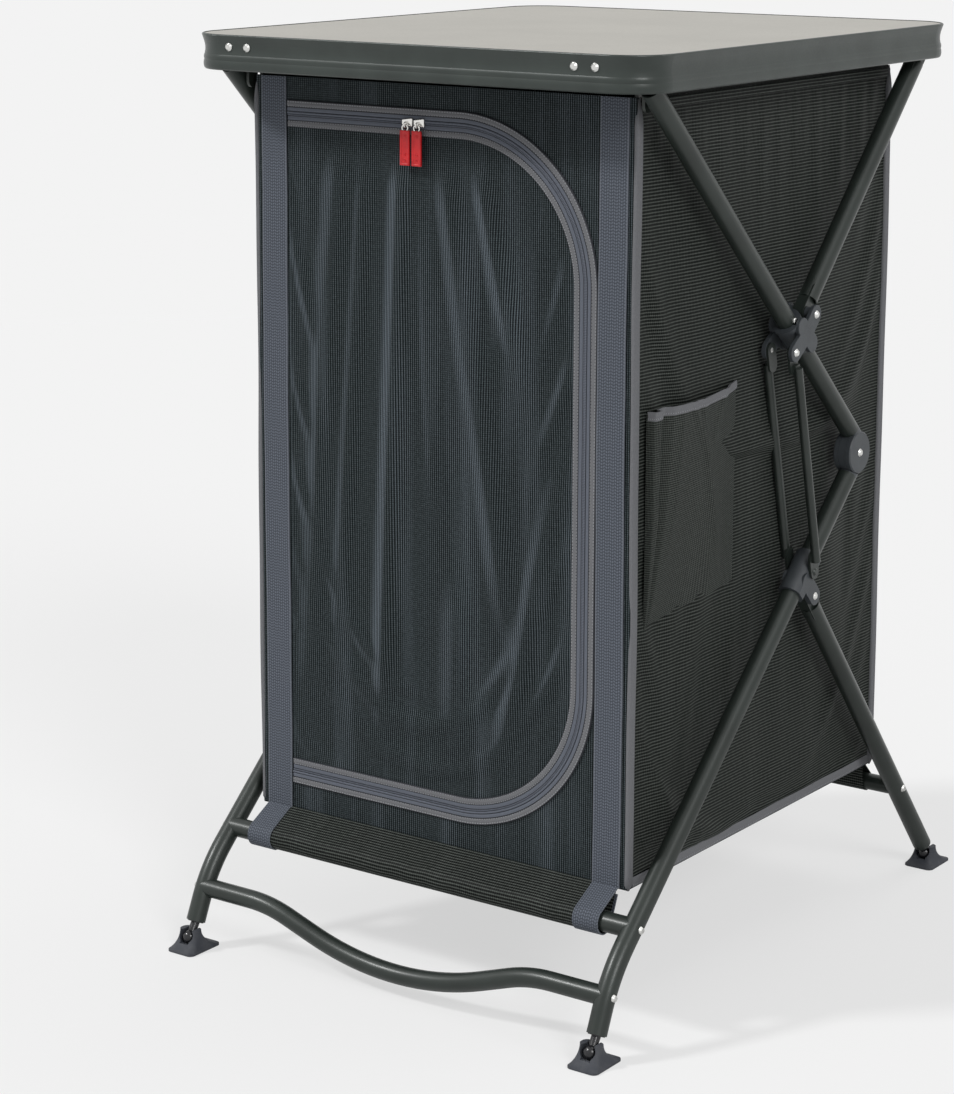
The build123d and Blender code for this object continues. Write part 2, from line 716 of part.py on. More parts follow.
def make_rear_leg():
    length = gap_between(REAR_LEG_PIVOT, REAR_FOOT)
    with BuildPart() as leg:
        tube(along(REAR_LEG_PIVOT, REAR_LEG, TUBE_START), REAR_LEG, length - TUBE_START)
        with BuildSketch(side_plane()):
            strap_outline(REAR_LEG_PIVOT, REAR_LEG, TONGUE_L, TONGUE_R)
        extrude(amount=TONGUE_T / 2, both=True)
        bore(REAR_LEG_PIVOT, PIN_R + RUN, TONGUE_T)
        pin(CROSS_REAR, RIVET_R, TUBE_R - RIVET_SEAT, TUBE_R + 1, mode=Mode.SUBTRACT)
    return leg.part


def make_front_cross():
    legs = leg_envelope()
    with BuildPart() as cross:
        with BuildSketch(Plane.YZ):
            with Locations(CROSS_FRONT):
                Circle(TUBE_R)
                Circle(TUBE_R - TUBE_WALL, mode=Mode.SUBTRACT)
        extrude(amount=FRAME_X, both=True)
        add(legs, mode=Mode.SUBTRACT)
    return biggest(cross.part)


def biggest(part):
    """The main solid of a part whose ends were cut off."""
    return part.solids().sort_by(SortBy.VOLUME)[-1]


def make_rear_cross():
    with BuildPart() as cross:
        with BuildSketch(Plane.YZ):
            with Locations(CROSS_REAR):
                Circle(CROSS_REAR_R)
                Circle(CROSS_REAR_R - TUBE_WALL, mode=Mode.SUBTRACT)
        extrude(amount=FRAME_X, both=True)
        for x in (FRAME_X, -FRAME_X):
            rod(along(CROSS_REAR, REAR_LEG, -40), REAR_LEG, TUBE_R + 0.02, 80, Mode.SUBTRACT, x)
    return biggest(cross.part)


def make_foot_bar():
    """Waved bar between the front feet: it dips in the middle."""
    plane = Plane(origin=(0, BAR_Y, 0), x_dir=(1, 0, 0), z_dir=(0, -1, 0))
    legs = leg_envelope()
    with BuildPart() as bar:
        with BuildLine(plane) as path:
            FilletPolyline(
                (-FRAME_X, BAR_Z),
                (-BAR_SHOULDER_X, BAR_Z),
                (0, BAR_DIP_Z),
                (BAR_SHOULDER_X, BAR_Z),
                (FRAME_X, BAR_Z),
                radius=[BAR_SHOULDER_R, BAR_DIP_R, BAR_SHOULDER_R],
            )
        with BuildSketch(Plane(origin=(-FRAME_X, BAR_Y, BAR_Z), x_dir=(0, 1, 0), z_dir=(1, 0, 0))):
            Circle(BAR_R)
            Circle(BAR_R - TUBE_WALL, mode=Mode.SUBTRACT)
        sweep(path=path.wire())
        add(legs, mode=Mode.SUBTRACT)
    return biggest(bar.part)


def make_leg_rivets():
    """Heads that close the cross tubes' fixings on the outer faces."""
    with BuildPart() as rivets:
        for spot in (CROSS_FRONT, (BAR_Y, BAR_Z)):
            rivet_head(spot, FRAME_X + TUBE_R - RIVET_SEAT, 1, height=RIVET_H + RIVET_SEAT)
        pin(REAR_LEG_PIVOT, PIN_R, -JOINT_FLAT, JOINT_FLAT)
        rivet_head(REAR_LEG_PIVOT, FRAME_X + JOINT_FLAT, 1, PIN_R + 1, 1.2)
    return pair(rivets.part)


def make_rear_leg_rivets():
    with BuildPart() as rivets:
        rivet_head(CROSS_REAR, FRAME_X + TUBE_R - RIVET_SEAT, 1, height=RIVET_H + RIVET_SEAT)
    return pair(rivets.part)


def foot_stem(foot, ball, up):
    """Moulded plug in the tube end with a neck down to a ball."""
    root = along(foot, up, SPIGOT_L)
    plug = TUBE_R - TUBE_WALL - SPIGOT_CLEAR
    with BuildPart() as stem:
        rod(root, (-up[0], -up[1]), plug, SPIGOT_L + 1)
        rod(along(foot, up, -1.0), toward(foot, ball), STEM_R, gap_between(foot, ball))
        with Locations((FRAME_X, *ball)):
            Sphere(BALL_R)
    return pair(stem.part)


def pad_ring(ball, x, share, height):
    """Level outline of a pad, between its cup at share 0 and its sole at share 1."""
    width = CUP_W + (PAD_W - CUP_W) * share
    length = CUP_L + (PAD_L - CUP_L) * share
    back = CUP_BACK + (PAD_BACK - CUP_BACK) * share
    with BuildSketch(Plane.XY.offset(height)) as ring:
        with Locations((x, ball[0] + back)):
            RectangleRounded(width, length, PAD_CORNER_R)
    return ring.sketch


def make_foot_pad(ball, x):
    """Rubber pad that spreads from a cup round the ball to a longer sole."""
    floor = ball[1] - STEM_R - 2 * GAP
    flare = ((PAD_T, 1.0), (0.23 * PAD_TOP, 0.6), (0.45 * PAD_TOP, 0.27), (PAD_TOP, 0.0))
    rings = [pad_ring(ball, x, share, height) for height, share in flare]
    sole = pad_ring(ball, x, 1.0, 0.0)
    mouth = Plane(origin=(x, *ball), z_dir=(0, *turned(150)))
    with BuildPart() as pad:
        extrude(sole, amount=PAD_T)
        loft(rings)
        with Locations((x, *ball)):
            Sphere(BALL_R + BALL_CLEAR, mode=Mode.SUBTRACT)
        with Locations((x, ball[0], floor)):
            Box(2 * (STEM_R + STEM_CLEAR), 2 * PAD_L, PAD_TOP, align=UPRIGHT, mode=Mode.SUBTRACT)
        with Locations(mouth):
            Cylinder(CUP_MOUTH_R, PAD_L, align=UPRIGHT, mode=Mode.SUBTRACT)
    return pad.part


# Fabric body

def make_front_surround():
    """Front face of the fabric body, cut out for the door."""
    with BuildPart() as surround:
        with BuildSketch(Plane.XZ.offset(-FRONT_Y - CLOTH)):
            with Locations((0, (BODY_Z + BODY_TOP) / 2)):
                Rectangle(BODY_W, BODY_TOP - BODY_Z)
            make_face(door_outline(ZIP_W / 2 - GAP), mode=Mode.SUBTRACT)
        extrude(amount=CLOTH)
    return surround.part


def door_outline(inset):
    """Door shape: square at the hinge side, two large round corners at the zip."""
    left = DOOR_LEFT
    right = DOOR_RIGHT - inset
    top = DOOR_TOP - inset
    foot = DOOR_BOTTOM + inset
    radius = DOOR_R - inset
    with BuildLine() as outline:
        upper = Line((left, top), (right - radius, top))
        bend = RadiusArc(upper @ 1, (right, top - radius), radius)
        side = Line(bend @ 1, (right, foot + radius))
        low_bend = RadiusArc(side @ 1, (right - radius, foot), radius)
        lower = Line(low_bend @ 1, (left, foot))
        Line(lower @ 1, (left, top))
    return outline.edges()


def make_door():
    with BuildPart() as door:
        with BuildSketch(Plane.XZ.offset(-FRONT_Y - CLOTH)):
            make_face(door_outline(ZIP_W / 2 + GAP))
        extrude(amount=CLOTH)
    return door.part


def zip_band(outer, inner):
    """Band along the door's edge between two insets, on the front face."""
    with BuildPart() as band:
        with BuildSketch(Plane.XZ.offset(-FRONT_Y)):
            make_face(door_outline(outer))
            make_face(door_outline(inner), mode=Mode.SUBTRACT)
        extrude(amount=ZIP_T)
    return band.part


def make_side_panel():
    half = BODY_W / 2
    with BuildPart() as panel:
        with BuildSketch(side_plane(half - CLOTH)):
            with Locations(((FRONT_Y + BACK_Y) / 2, (BODY_Z + BODY_TOP) / 2)):
                Rectangle(BACK_Y - FRONT_Y - 2 * CLOTH, BODY_TOP - BODY_Z)
        extrude(amount=CLOTH)
    return panel.part


def make_back_panel():
    with BuildPart() as panel:
        with BuildSketch(Plane.XZ.offset(-BACK_Y)):
            with Locations((0, (BODY_Z + BODY_TOP) / 2)):
                Rectangle(BODY_W, BODY_TOP - BODY_Z)
        extrude(amount=CLOTH)
    return panel.part


def make_floor_panel():
    with BuildPart() as panel:
        with BuildSketch(Plane.XY.offset(BODY_Z - CLOTH)):
            with Locations((0, (FRONT_Y + BACK_Y) / 2)):
                Rectangle(BODY_W, BACK_Y - FRONT_Y)
        extrude(amount=CLOTH)
    return panel.part


def make_straps():
    """Webbing down the front and back faces."""
    with BuildPart() as straps:
        with BuildSketch(Plane.XZ.offset(-FRONT_Y)):
            with Locations(
                (STRAP_X, (BODY_Z + BODY_TOP) / 2),
                (-STRAP_X, (BODY_Z + BODY_TOP) / 2),
            ):
                Rectangle(STRAP_W, BODY_TOP - BODY_Z)
        extrude(amount=STRAP_T)
        with BuildSketch(Plane.XZ.offset(-BACK_Y)):
            with Locations(
                (STRAP_X, (BODY_Z + BODY_TOP) / 2),
                (-STRAP_X, (BODY_Z + BODY_TOP) / 2),
            ):
                Rectangle(STRAP_W, BODY_TOP - BODY_Z)
        extrude(amount=-STRAP_T)
    return straps.part


def make_bindings():
    """Folded tape over the four upright corners of the fabric body."""
    half = BODY_W / 2
    with BuildPart() as bindings:
        with BuildSketch(Plane.XY.offset(BODY_Z)):
            for x in (1, -1):
                for y in (FRONT_Y, BACK_Y - CLOTH):
                    back = 1 if y > 0 else -1
                    edge = y + CLOTH if back == 1 else y
                    with Locations((x * (half + BINDING_T / 2 + 0.05), edge - back * BINDING_W / 2)):
                        Rectangle(BINDING_T, BINDING_W)
        extrude(amount=BODY_TOP - BODY_Z)
    return bindings.part


def make_pocket():
    """Open-topped pocket sewn on the right side."""
    middle = ((POCKET_Y[0] + POCKET_Y[1]) / 2, (POCKET_Z[0] + POCKET_Z[1]) / 2)
    size = (POCKET_Y[1] - POCKET_Y[0], POCKET_Z[1] - POCKET_Z[0])
    start = BODY_W / 2 + 0.05
    with BuildPart() as pocket:
        with BuildSketch(side_plane(start)):
            with Locations(middle):
                Rectangle(*size)
        extrude(amount=POCKET_OUT)
        with BuildSketch(side_plane(start)):
            with Locations((middle[0], middle[1] + CLOTH)):
                Rectangle(size[0] - 2 * CLOTH, size[1])
        extrude(amount=POCKET_OUT - CLOTH, mode=Mode.SUBTRACT)
    return pocket.part


def make_pocket_binding():
    top = POCKET_Z[1]
    face = BODY_W / 2 + 0.05 + POCKET_OUT
    with BuildPart() as tape:
        with BuildSketch(side_plane(face)):
            with Locations(((POCKET_Y[0] + POCKET_Y[1]) / 2, top - BINDING_W / 2)):
                Rectangle(POCKET_Y[1] - POCKET_Y[0], BINDING_W)
        extrude(amount=BINDING_T)
    return tape.part


def make_slider(x):
    """Zip slider riding in front of the tape, with a nose for the pull."""
    front = FRONT_Y - ZIP_T - GAP
    height = DOOR_TOP - ZIP_W / 2
    with BuildPart() as slider:
        with BuildSketch(Plane.XZ.offset(-front)):
            with Locations((x, height)):
                RectangleRounded(SLIDER_W, SLIDER_L, SLIDER_CORNER_R)
        extrude(amount=SLIDER_H)
        with BuildSketch(Plane.XZ.offset(-front + SLIDER_H)):
            with Locations((x, height - NOSE_DROP)):
                Circle(NOSE_R)
        extrude(amount=NOSE_H)
        with BuildSketch(Plane.YZ.offset(x)):
            with Locations((front - PULL_AXIS_OUT, height - NOSE_DROP)):
                Circle(PULL_PIN_R)
        extrude(amount=PULL_PIN_HALF, both=True)
    return slider.part


def make_pull(x):
    """Rubber pull hanging from the slider's cross pin."""
    axis_y = FRONT_Y - ZIP_T - GAP - PULL_AXIS_OUT
    axis_z = DOOR_TOP - ZIP_W / 2 - NOSE_DROP
    arm = PULL_ARM_UP + PULL_DROP + PULL_ARM_W
    with BuildPart() as pull:
        with BuildSketch(Plane.XZ.offset(-axis_y - PULL_T / 2)):
            with Locations((x, axis_z - PULL_DROP - PULL_L / 2)):
                RectangleRounded(PULL_W, PULL_L, PULL_T / 2)
            for side in (-1, 1):
                with Locations((x + side * PULL_ARM_X, axis_z + PULL_ARM_UP - arm / 2)):
                    Rectangle(PULL_ARM_W, arm)
        extrude(amount=PULL_T)
        with BuildSketch(Plane.YZ.offset(x)):
            with Locations((axis_y, axis_z)):
                Circle(PULL_PIN_R + RUN)
        extrude(amount=PULL_W, both=True, mode=Mode.SUBTRACT)
    return pull.part


def make_shelf(height):
    """Stiff shelf insert."""
    inset = CLOTH + 1.0
    with BuildPart() as shelf:
        with BuildSketch(Plane.XY.offset(height)):
            with Locations((0, (FRONT_Y + BACK_Y) / 2)):
                RectangleRounded(BODY_W - 2 * inset, BACK_Y - FRONT_Y - 2 * inset, 6)
        extrude(amount=SHELF_T)
    return shelf.part


def make_sleeve(centre, radius, body_edge, half):
    """Fabric sleeve round a cross tube, with its web to the body's bottom edge."""
    inner = radius + SLEEVE_CLEAR
    web = toward(centre, body_edge)
    reach = gap_between(centre, body_edge)
    with BuildPart() as sleeve:
        with BuildSketch(Plane.YZ):
            with Locations(centre):
                Circle(inner + CLOTH)
            with Locations(along(centre, web, reach / 2)):
                Rectangle(reach, CLOTH, rotation=math.degrees(math.atan2(web[1], web[0])))
            with Locations(centre):
                Circle(inner, mode=Mode.SUBTRACT)
        extrude(amount=half, both=True)
    return sleeve.part


def make_sleeve_bands():
    """Webbing ends wrapped round the front sleeve."""
    inner = TUBE_R + SLEEVE_CLEAR + CLOTH + RUN
    web = toward(CROSS_FRONT, (FRONT_Y, BODY_Z))
    slot = 5 * CLOTH
    with BuildPart() as bands:
        for x in (STRAP_X - STRAP_W / 2, -STRAP_X - STRAP_W / 2):
            with BuildSketch(Plane.YZ.offset(x)):
                with Locations(CROSS_FRONT):
                    Circle(inner + STRAP_T)
                    Circle(inner, mode=Mode.SUBTRACT)
                with Locations(along(CROSS_FRONT, web, inner)):
                    Rectangle(
                        2 * slot,
                        slot,
                        rotation=math.degrees(math.atan2(web[1], web[0])),
                        mode=Mode.SUBTRACT,
                    )
            extrude(amount=STRAP_W)
    return bands.part


save(make_board(), "tabletop_board")
save(make_rim(), "tabletop_rim")
save(make_corner_blocks(), "corner_blocks")
save(make_rim_rivets(), "rim_rivets")
save(make_front_ears(), "front_pivot_ears")
save(make_rear_brackets(), "rear_pivot_brackets")
save(make_hanging_rails(), "hanging_rails")

both_sides(make_rear_strut(), "rear_strut")
both_sides(make_collar(), "collar")
save(make_collar_rivets(), "collar_rivets")
both_sides(make_front_arm(), "front_arm")
both_sides(make_upper_knuckle(), "upper_knuckle")
save(make_knee_pins(), "knee_pins")
both_sides(make_snap_button(), "snap_button")
both_sides(make_front_leg(), "front_leg")
both_sides(make_lower_knuckle(), "lower_knuckle")
both_sides(make_leg_joint(), "leg_joint")
save(make_links(), "twin_links")
save(make_front_cross(), "front_cross_tube")
save(make_foot_bar(), "foot_bar")
save(make_leg_rivets(), "leg_rivets")
both_sides(make_rear_leg(), "rear_leg")
save(make_rear_cross(), "rear_cross_tube")
save(make_rear_leg_rivets(), "rear_leg_rivets")
save(foot_stem(FRONT_FOOT, FRONT_BALL, FOOT_UP), "front_foot_stems")
save(foot_stem(REAR_FOOT, REAR_BALL, (-REAR_LEG[0], -REAR_LEG[1])), "rear_foot_stems")
for end, ball in (("front", FRONT_BALL), ("rear", REAR_BALL)):
    for side, x in (("right", FRAME_X), ("left", -FRAME_X)):
        save(make_foot_pad(ball, x), f"foot_pad_{end}_{side}")

save(make_front_surround(), "front_surround")
both_sides(make_side_panel(), "side_panel")
save(make_back_panel(), "back_panel")
save(make_floor_panel(), "floor_panel")
save(make_straps(), "webbing_straps")
save(make_bindings(), "edge_bindings")
save(make_pocket(), "side_pocket")
save(make_pocket_binding(), "pocket_binding")
save(zip_band(0, ZIP_W / 2 - GAP), "zip_tape_outer")
save(make_door(), "door_panel")
save(zip_band(ZIP_W / 2 + GAP, ZIP_W), "zip_tape_inner")
for side, x in zip(("left", "right"), SLIDER_X):
    save(make_slider(x), f"zip_slider_{side}")
    save(make_pull(x), f"zip_pull_{side}")
save(make_shelf(BODY_Z + 0.5), "floor_board")
save(make_shelf(SHELF_Z), "middle_shelf")
front_edge = (FRONT_Y - SLEEVE_GAP, BODY_Z - SLEEVE_GAP)
back_edge = (BACK_Y + SLEEVE_GAP, BODY_Z - SLEEVE_GAP)
save(make_sleeve(CROSS_FRONT, TUBE_R, front_edge, STRAP_X + STRAP_W / 2), "bar_sleeve")
save(make_sleeve(CROSS_REAR, CROSS_REAR_R, back_edge, REAR_SLEEVE_HALF), "rear_sleeve")
save(make_sleeve_bands(), "sleeve_bands")
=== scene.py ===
import json
import math

import bpy
from mathutils import Matrix, Vector


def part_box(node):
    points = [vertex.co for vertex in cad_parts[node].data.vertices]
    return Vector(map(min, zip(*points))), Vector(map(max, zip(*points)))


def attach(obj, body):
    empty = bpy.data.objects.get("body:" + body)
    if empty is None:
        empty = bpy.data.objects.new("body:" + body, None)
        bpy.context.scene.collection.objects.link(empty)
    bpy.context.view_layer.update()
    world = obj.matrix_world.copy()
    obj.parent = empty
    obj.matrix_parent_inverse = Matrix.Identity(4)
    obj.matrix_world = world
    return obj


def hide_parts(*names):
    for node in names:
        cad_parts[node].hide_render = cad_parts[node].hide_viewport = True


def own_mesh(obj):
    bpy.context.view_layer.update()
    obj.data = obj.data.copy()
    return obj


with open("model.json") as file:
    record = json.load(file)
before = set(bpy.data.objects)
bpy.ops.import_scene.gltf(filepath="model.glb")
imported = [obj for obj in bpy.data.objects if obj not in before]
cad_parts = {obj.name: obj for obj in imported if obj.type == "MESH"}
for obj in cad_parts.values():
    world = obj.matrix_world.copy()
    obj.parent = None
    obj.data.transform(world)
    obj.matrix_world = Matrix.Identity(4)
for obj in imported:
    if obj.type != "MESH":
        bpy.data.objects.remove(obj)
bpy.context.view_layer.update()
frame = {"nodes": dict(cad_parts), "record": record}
nodes = frame["nodes"]
print("frame loaded")

mm = 0.001

# Where the fabric body stands, read from the frame
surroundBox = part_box("front_surround")
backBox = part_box("back_panel")
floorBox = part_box("floor_panel")
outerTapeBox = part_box("zip_tape_outer")
body = {
    "left": surroundBox[0][0],
    "right": surroundBox[1][0],
    "front": surroundBox[0][1],
    "back": backBox[1][1],
    "bottom": surroundBox[0][2],
    "top": surroundBox[1][2],
}
bodyWidth = body["right"] - body["left"]
bodyDepth = body["back"] - body["front"]
bodyHeight = body["top"] - body["bottom"]
door = {
    "left": outerTapeBox[0][0],
    "right": outerTapeBox[1][0],
    "top": outerTapeBox[1][2],
    "bottom": outerTapeBox[0][2],
    "radius": 160 * mm,
    "band": 27 * mm,
}


# Materials

def newMaterial(name, colour, roughness, metallic=0.0):
    material = bpy.data.materials.new(name)
    material.use_nodes = True
    shader = material.node_tree.nodes["Principled BSDF"]
    shader.inputs["Base Color"].default_value = (*colour, 1)
    shader.inputs["Roughness"].default_value = roughness
    shader.inputs["Metallic"].default_value = metallic
    material.diffuse_color = (*colour, 1)
    return material, material.node_tree, shader


def addNode(tree, kind, values=None, **settings):
    node = tree.nodes.new(kind)
    for key, value in settings.items():
        setattr(node, key, value)
    for socket, value in (values or {}).items():
        node.inputs[socket].default_value = value
    return node


def mathNode(tree, operation, first, second=None, third=None):
    node = addNode(tree, "ShaderNodeMath", operation=operation)
    for index, value in enumerate((first, second, third)):
        if value is None:
            continue
        if isinstance(value, (int, float)):
            node.inputs[index].default_value = value
        else:
            tree.links.new(value, node.inputs[index])
    return node.outputs[0]


def times(tree, first, second):
    return mathNode(tree, "MULTIPLY", first, second)


def weighted(tree, first, firstShare, second, secondShare):
    return mathNode(tree, "ADD", times(tree, first, firstShare), times(tree, second, secondShare))


def noiseNode(tree, scale, detail=4.0, coordinates=None, roughness=0.5):
    noise = addNode(tree, "ShaderNodeTexNoise", {"Scale": scale, "Detail": detail, "Roughness": roughness})
    if coordinates is None:
        coordinates = addNode(tree, "ShaderNodeTexCoord").outputs["Object"]
    tree.links.new(coordinates, noise.inputs["Vector"])
    return noise.outputs["Fac"]


def rampNode(tree, factor, stops, interpolation="LINEAR"):
    ramp = addNode(tree, "ShaderNodeValToRGB")
    ramp.color_ramp.interpolation = interpolation
    while len(ramp.color_ramp.elements) < len(stops):
        ramp.color_ramp.elements.new(0.5)
    for element, (position, colour) in zip(ramp.color_ramp.elements, stops):
        element.position = position
        element.color = (*colour, 1) if len(colour) == 3 else colour
    tree.links.new(factor, ramp.inputs["Fac"])
    return ramp.outputs["Color"]


def grey(value):
    return (value, value, value)


def bumpNode(tree, shader, height, strength, distance):
    bump = addNode(tree, "ShaderNodeBump", {"Strength": strength, "Distance": distance})
    tree.links.new(height, bump.inputs["Height"])
    tree.links.new(bump.outputs["Normal"], shader.inputs["Normal"])


# bump is its strength and its depth
def finishShader(tree, shader, colour, height, bump, specular):
    tree.links.new(colour, shader.inputs["Base Color"])
    bumpNode(tree, shader, height, *bump)
    shader.inputs["Specular IOR Level"].default_value = specular


def mixColour(tree, factor, first, second, blend="MIX"):
    mix = addNode(tree, "ShaderNodeMix", data_type="RGBA", blend_type=blend)
    for socket, value in ((mix.inputs[0], factor), (mix.inputs[6], first), (mix.inputs[7], second)):
        if isinstance(value, tuple):
            socket.default_value = (*value, 1)
        elif isinstance(value, (int, float)):
            socket.default_value = value
        else:
            tree.links.new(value, socket)
    return mix.outputs[2]


# Finishes of the solid parts, each from up to three noises that start with a scale and a detail:
# tone goes on with its dark and pale colours, shine with two roughnesses, grain with strength and depth
jointPlastic = {
    "colour": (0.040, 0.046, 0.052),
    "roughness": 0.5,
    "tone": (60, 3.0, (0.034, 0.039, 0.045), (0.050, 0.057, 0.063)),
    "shine": (1500, 2.0, 0.40, 0.58),
    "grain": (1500, 2.0, 0.25, 0.3 * mm),
}
stemPlastic = {
    "colour": (0.012, 0.012, 0.014),
    "roughness": 0.22,
    "shine": (90, 2.0, 0.16, 0.32),
    "grain": (900, 2.0, 0.08, 0.3 * mm),
}
rivetSteel = {
    "colour": (0.66, 0.66, 0.64),
    "roughness": 0.28,
    "metallic": 1.0,
    "shine": (700, 4.0, 0.2, 0.42),
    "grain": (700, 4.0, 0.12, 0.3 * mm),
}
footRubber = {
    "colour": (0.040, 0.044, 0.054),
    "roughness": 0.72,
    "tone": (45, 5.0, (0.036, 0.040, 0.050), (0.075, 0.078, 0.086)),
    "toneEnds": (0.42, 0.75),
    "toneRoughness": 0.65,
    "grain": (700, 5.0, 0.3, 0.4 * mm),
}
zipMetal = {
    "colour": (0.80, 0.79, 0.76),
    "roughness": 0.18,
    "metallic": 1.0,
    "shine": (500, 3.0, 0.12, 0.3),
    "grain": (500, 3.0, 0.1, 0.3 * mm),
}
redPull = {
    "colour": (0.56, 0.010, 0.014),
    "roughness": 0.45,
    "tone": (160, 4.0, (0.50, 0.008, 0.012), (0.64, 0.016, 0.020)),
    "grain": (1200, 2.0, 0.15, 0.3 * mm),
}
shelfBoard = {
    "colour": (0.028, 0.030, 0.030),
    "roughness": 0.7,
    "tone": (500, 5.0, (0.022, 0.024, 0.024), (0.040, 0.042, 0.042)),
    "grain": (500, 5.0, 0.3, 0.5 * mm),
}


def solidFinish(name, finish):
    metallic = finish.get("metallic", 0.0)
    material, tree, shader = newMaterial(name, finish["colour"], finish["roughness"], metallic)
    if "tone" in finish:
        scale, detail, dark, pale = finish["tone"]
        low, high = finish.get("toneEnds", (0.3, 0.7))
        noise = noiseNode(tree, scale, detail, roughness=finish.get("toneRoughness", 0.5))
        tree.links.new(rampNode(tree, noise, [(low, dark), (high, pale)]), shader.inputs["Base Color"])
    if "shine" in finish:
        scale, detail, least, most = finish["shine"]
        noise = noiseNode(tree, scale, detail)
        rough = rampNode(tree, noise, [(0.3, grey(least)), (0.7, grey(most))])
        tree.links.new(rough, shader.inputs["Roughness"])
    scale, detail, strength, depth = finish["grain"]
    bumpNode(tree, shader, noiseNode(tree, scale, detail), strength, depth)
    for socket, value in finish.get("inputs", {}).items():
        shader.inputs[socket].default_value = value
    return material


# Dark grey-green powder coat with a fine hammered grain and a narrow shine
powderCoat = {
    "roughness": 0.42,
    "metallic": 0.15,
    "toneEnds": (0.35, 0.68),
    "shine": (900, 3.0, 0.34, 0.48),
    "grain": (900, 3.0, 0.14, 0.3 * mm),
    "inputs": {"Specular IOR Level": 0.35, "Coat Weight": 0.22, "Coat Roughness": 0.26},
}
framePaint = ((0.016, 0.021, 0.018), (0.023, 0.030, 0.026))
# The rim's paint is the same powder coat made lighter: painted light on the rim
rimLitPaint = ((0.026, 0.034, 0.030), (0.036, 0.046, 0.041))


def powderPaint(name, dark, pale):
    return solidFinish(name, {**powderCoat, "colour": dark, "tone": (22, 3.0, dark, pale)})


# Warm grey laminate with a fine stone grain
laminate = {
    "colour": (0.400, 0.386, 0.350),
    "pale": (0.450, 0.436, 0.400),
    "roughness": 0.55,
    "specular": 0.25,
    "bump": (0.10, 0.3 * mm),
    "speckScale": 420,
    "cloudScale": 9,
    "cloudDark": 0.93,
}


def topLaminate():
    material, tree, shader = newMaterial("topLaminate", laminate["colour"], laminate["roughness"])
    fine = noiseNode(tree, laminate["speckScale"], 6.0, roughness=0.7)
    cloud = noiseNode(tree, laminate["cloudScale"], 4.0)
    speck = rampNode(tree, fine, [(0.30, laminate["colour"]), (0.62, laminate["pale"])])
    shade = rampNode(tree, cloud, [(0.3, grey(laminate["cloudDark"])), (0.7, grey(1.0))])
    colour = mixColour(tree, 1.0, speck, shade, "MULTIPLY")
    finishShader(tree, shader, colour, fine, laminate["bump"], laminate["specular"])
    return material


# A rounded ridge for each thread: 0 in the gap, 1 at the crown
def threadWave(tree, coordinate, pitch, sharpness=1.0):
    turn = times(tree, coordinate, math.pi / pitch)
    ridge = mathNode(tree, "ABSOLUTE", mathNode(tree, "SINE", turn))
    return mathNode(tree, "POWER", ridge, sharpness)


# The piece's own UV map, in metres along and across the cloth
def uvAxes(tree):
    uv = addNode(tree, "ShaderNodeUVMap", uv_map="cloth")
    split = addNode(tree, "ShaderNodeSeparateXYZ")
    tree.links.new(uv.outputs["UV"], split.inputs[0])
    return split.outputs[0], split.outputs[1], uv.outputs["UV"]


# Colours of the open-mesh cloth, its weave, and how strongly it shows its painted sheen streaks, painted
# slope light and painted glints
weave = {
    "across": 2.5 * mm,
    "uprightSharp": 3.4,
    "levelSharp": 3.8,
    "lineSharp": 1.2,
    # stretch and noise of the painted sheen streaks along the folds
    "paintedSheen": (24, 1.6, 1),
    "paintedSheenNoise": (1.0, 3.0),
    "uneven": (260, 2.0),
    # painted glints at the thread crossings: noise scale and detail
    "paintedGlint": (700, 1.0),
    "bump": (0.45, 0.4 * mm),
}
frontCloth = {
    "dark": (0.0020, 0.0030, 0.0032),
    "thread": (0.062, 0.080, 0.086),
    # lit: colour of the painted sheen and painted slope light; glint: colour of the painted glints
    "lit": (0.250, 0.295, 0.345),
    "glint": (0.26, 0.28, 0.30),
    "upright": 1.0,
    "level": 0.35,
    "down": 2.1 * mm,
    "paintedSheenShare": 0.5,
    "leans": 0.65,
    "specular": 0.04,
}
sideCloth = {
    "dark": (0.0008, 0.0011, 0.0010),
    "thread": (0.078, 0.088, 0.080),
    # lit: colour of the painted sheen streaks; glint: colour of the painted glints
    "lit": (0.200, 0.215, 0.202),
    "glint": (0.22, 0.23, 0.21),
    "upright": 0.35,
    "level": 1.0,
    "down": 3.2 * mm,
    "paintedSheenShare": 0.2,
    "leans": 0.0,
    "specular": 0.04,
}
pocketCloth = {
    **sideCloth,
    "upright": 0.7,
    "down": 2.2 * mm,
    "paintedSheenShare": 0.25,
    "leans": 0.65,
    "specular": 0.07,
}


# Painted key light: how far the cloth faces -X of its own axes, the side the key light comes from, from 0
# to 1
def paintedSlopeLight(tree):
    normal = addNode(tree, "ShaderNodeTexCoord").outputs["Normal"]
    split = addNode(tree, "ShaderNodeSeparateXYZ")
    tree.links.new(normal, split.inputs[0])
    lean = times(tree, split.outputs[0], -1.0)
    return rampNode(tree, lean, [(0.07, grey(0.0)), (0.32, grey(1.0))])
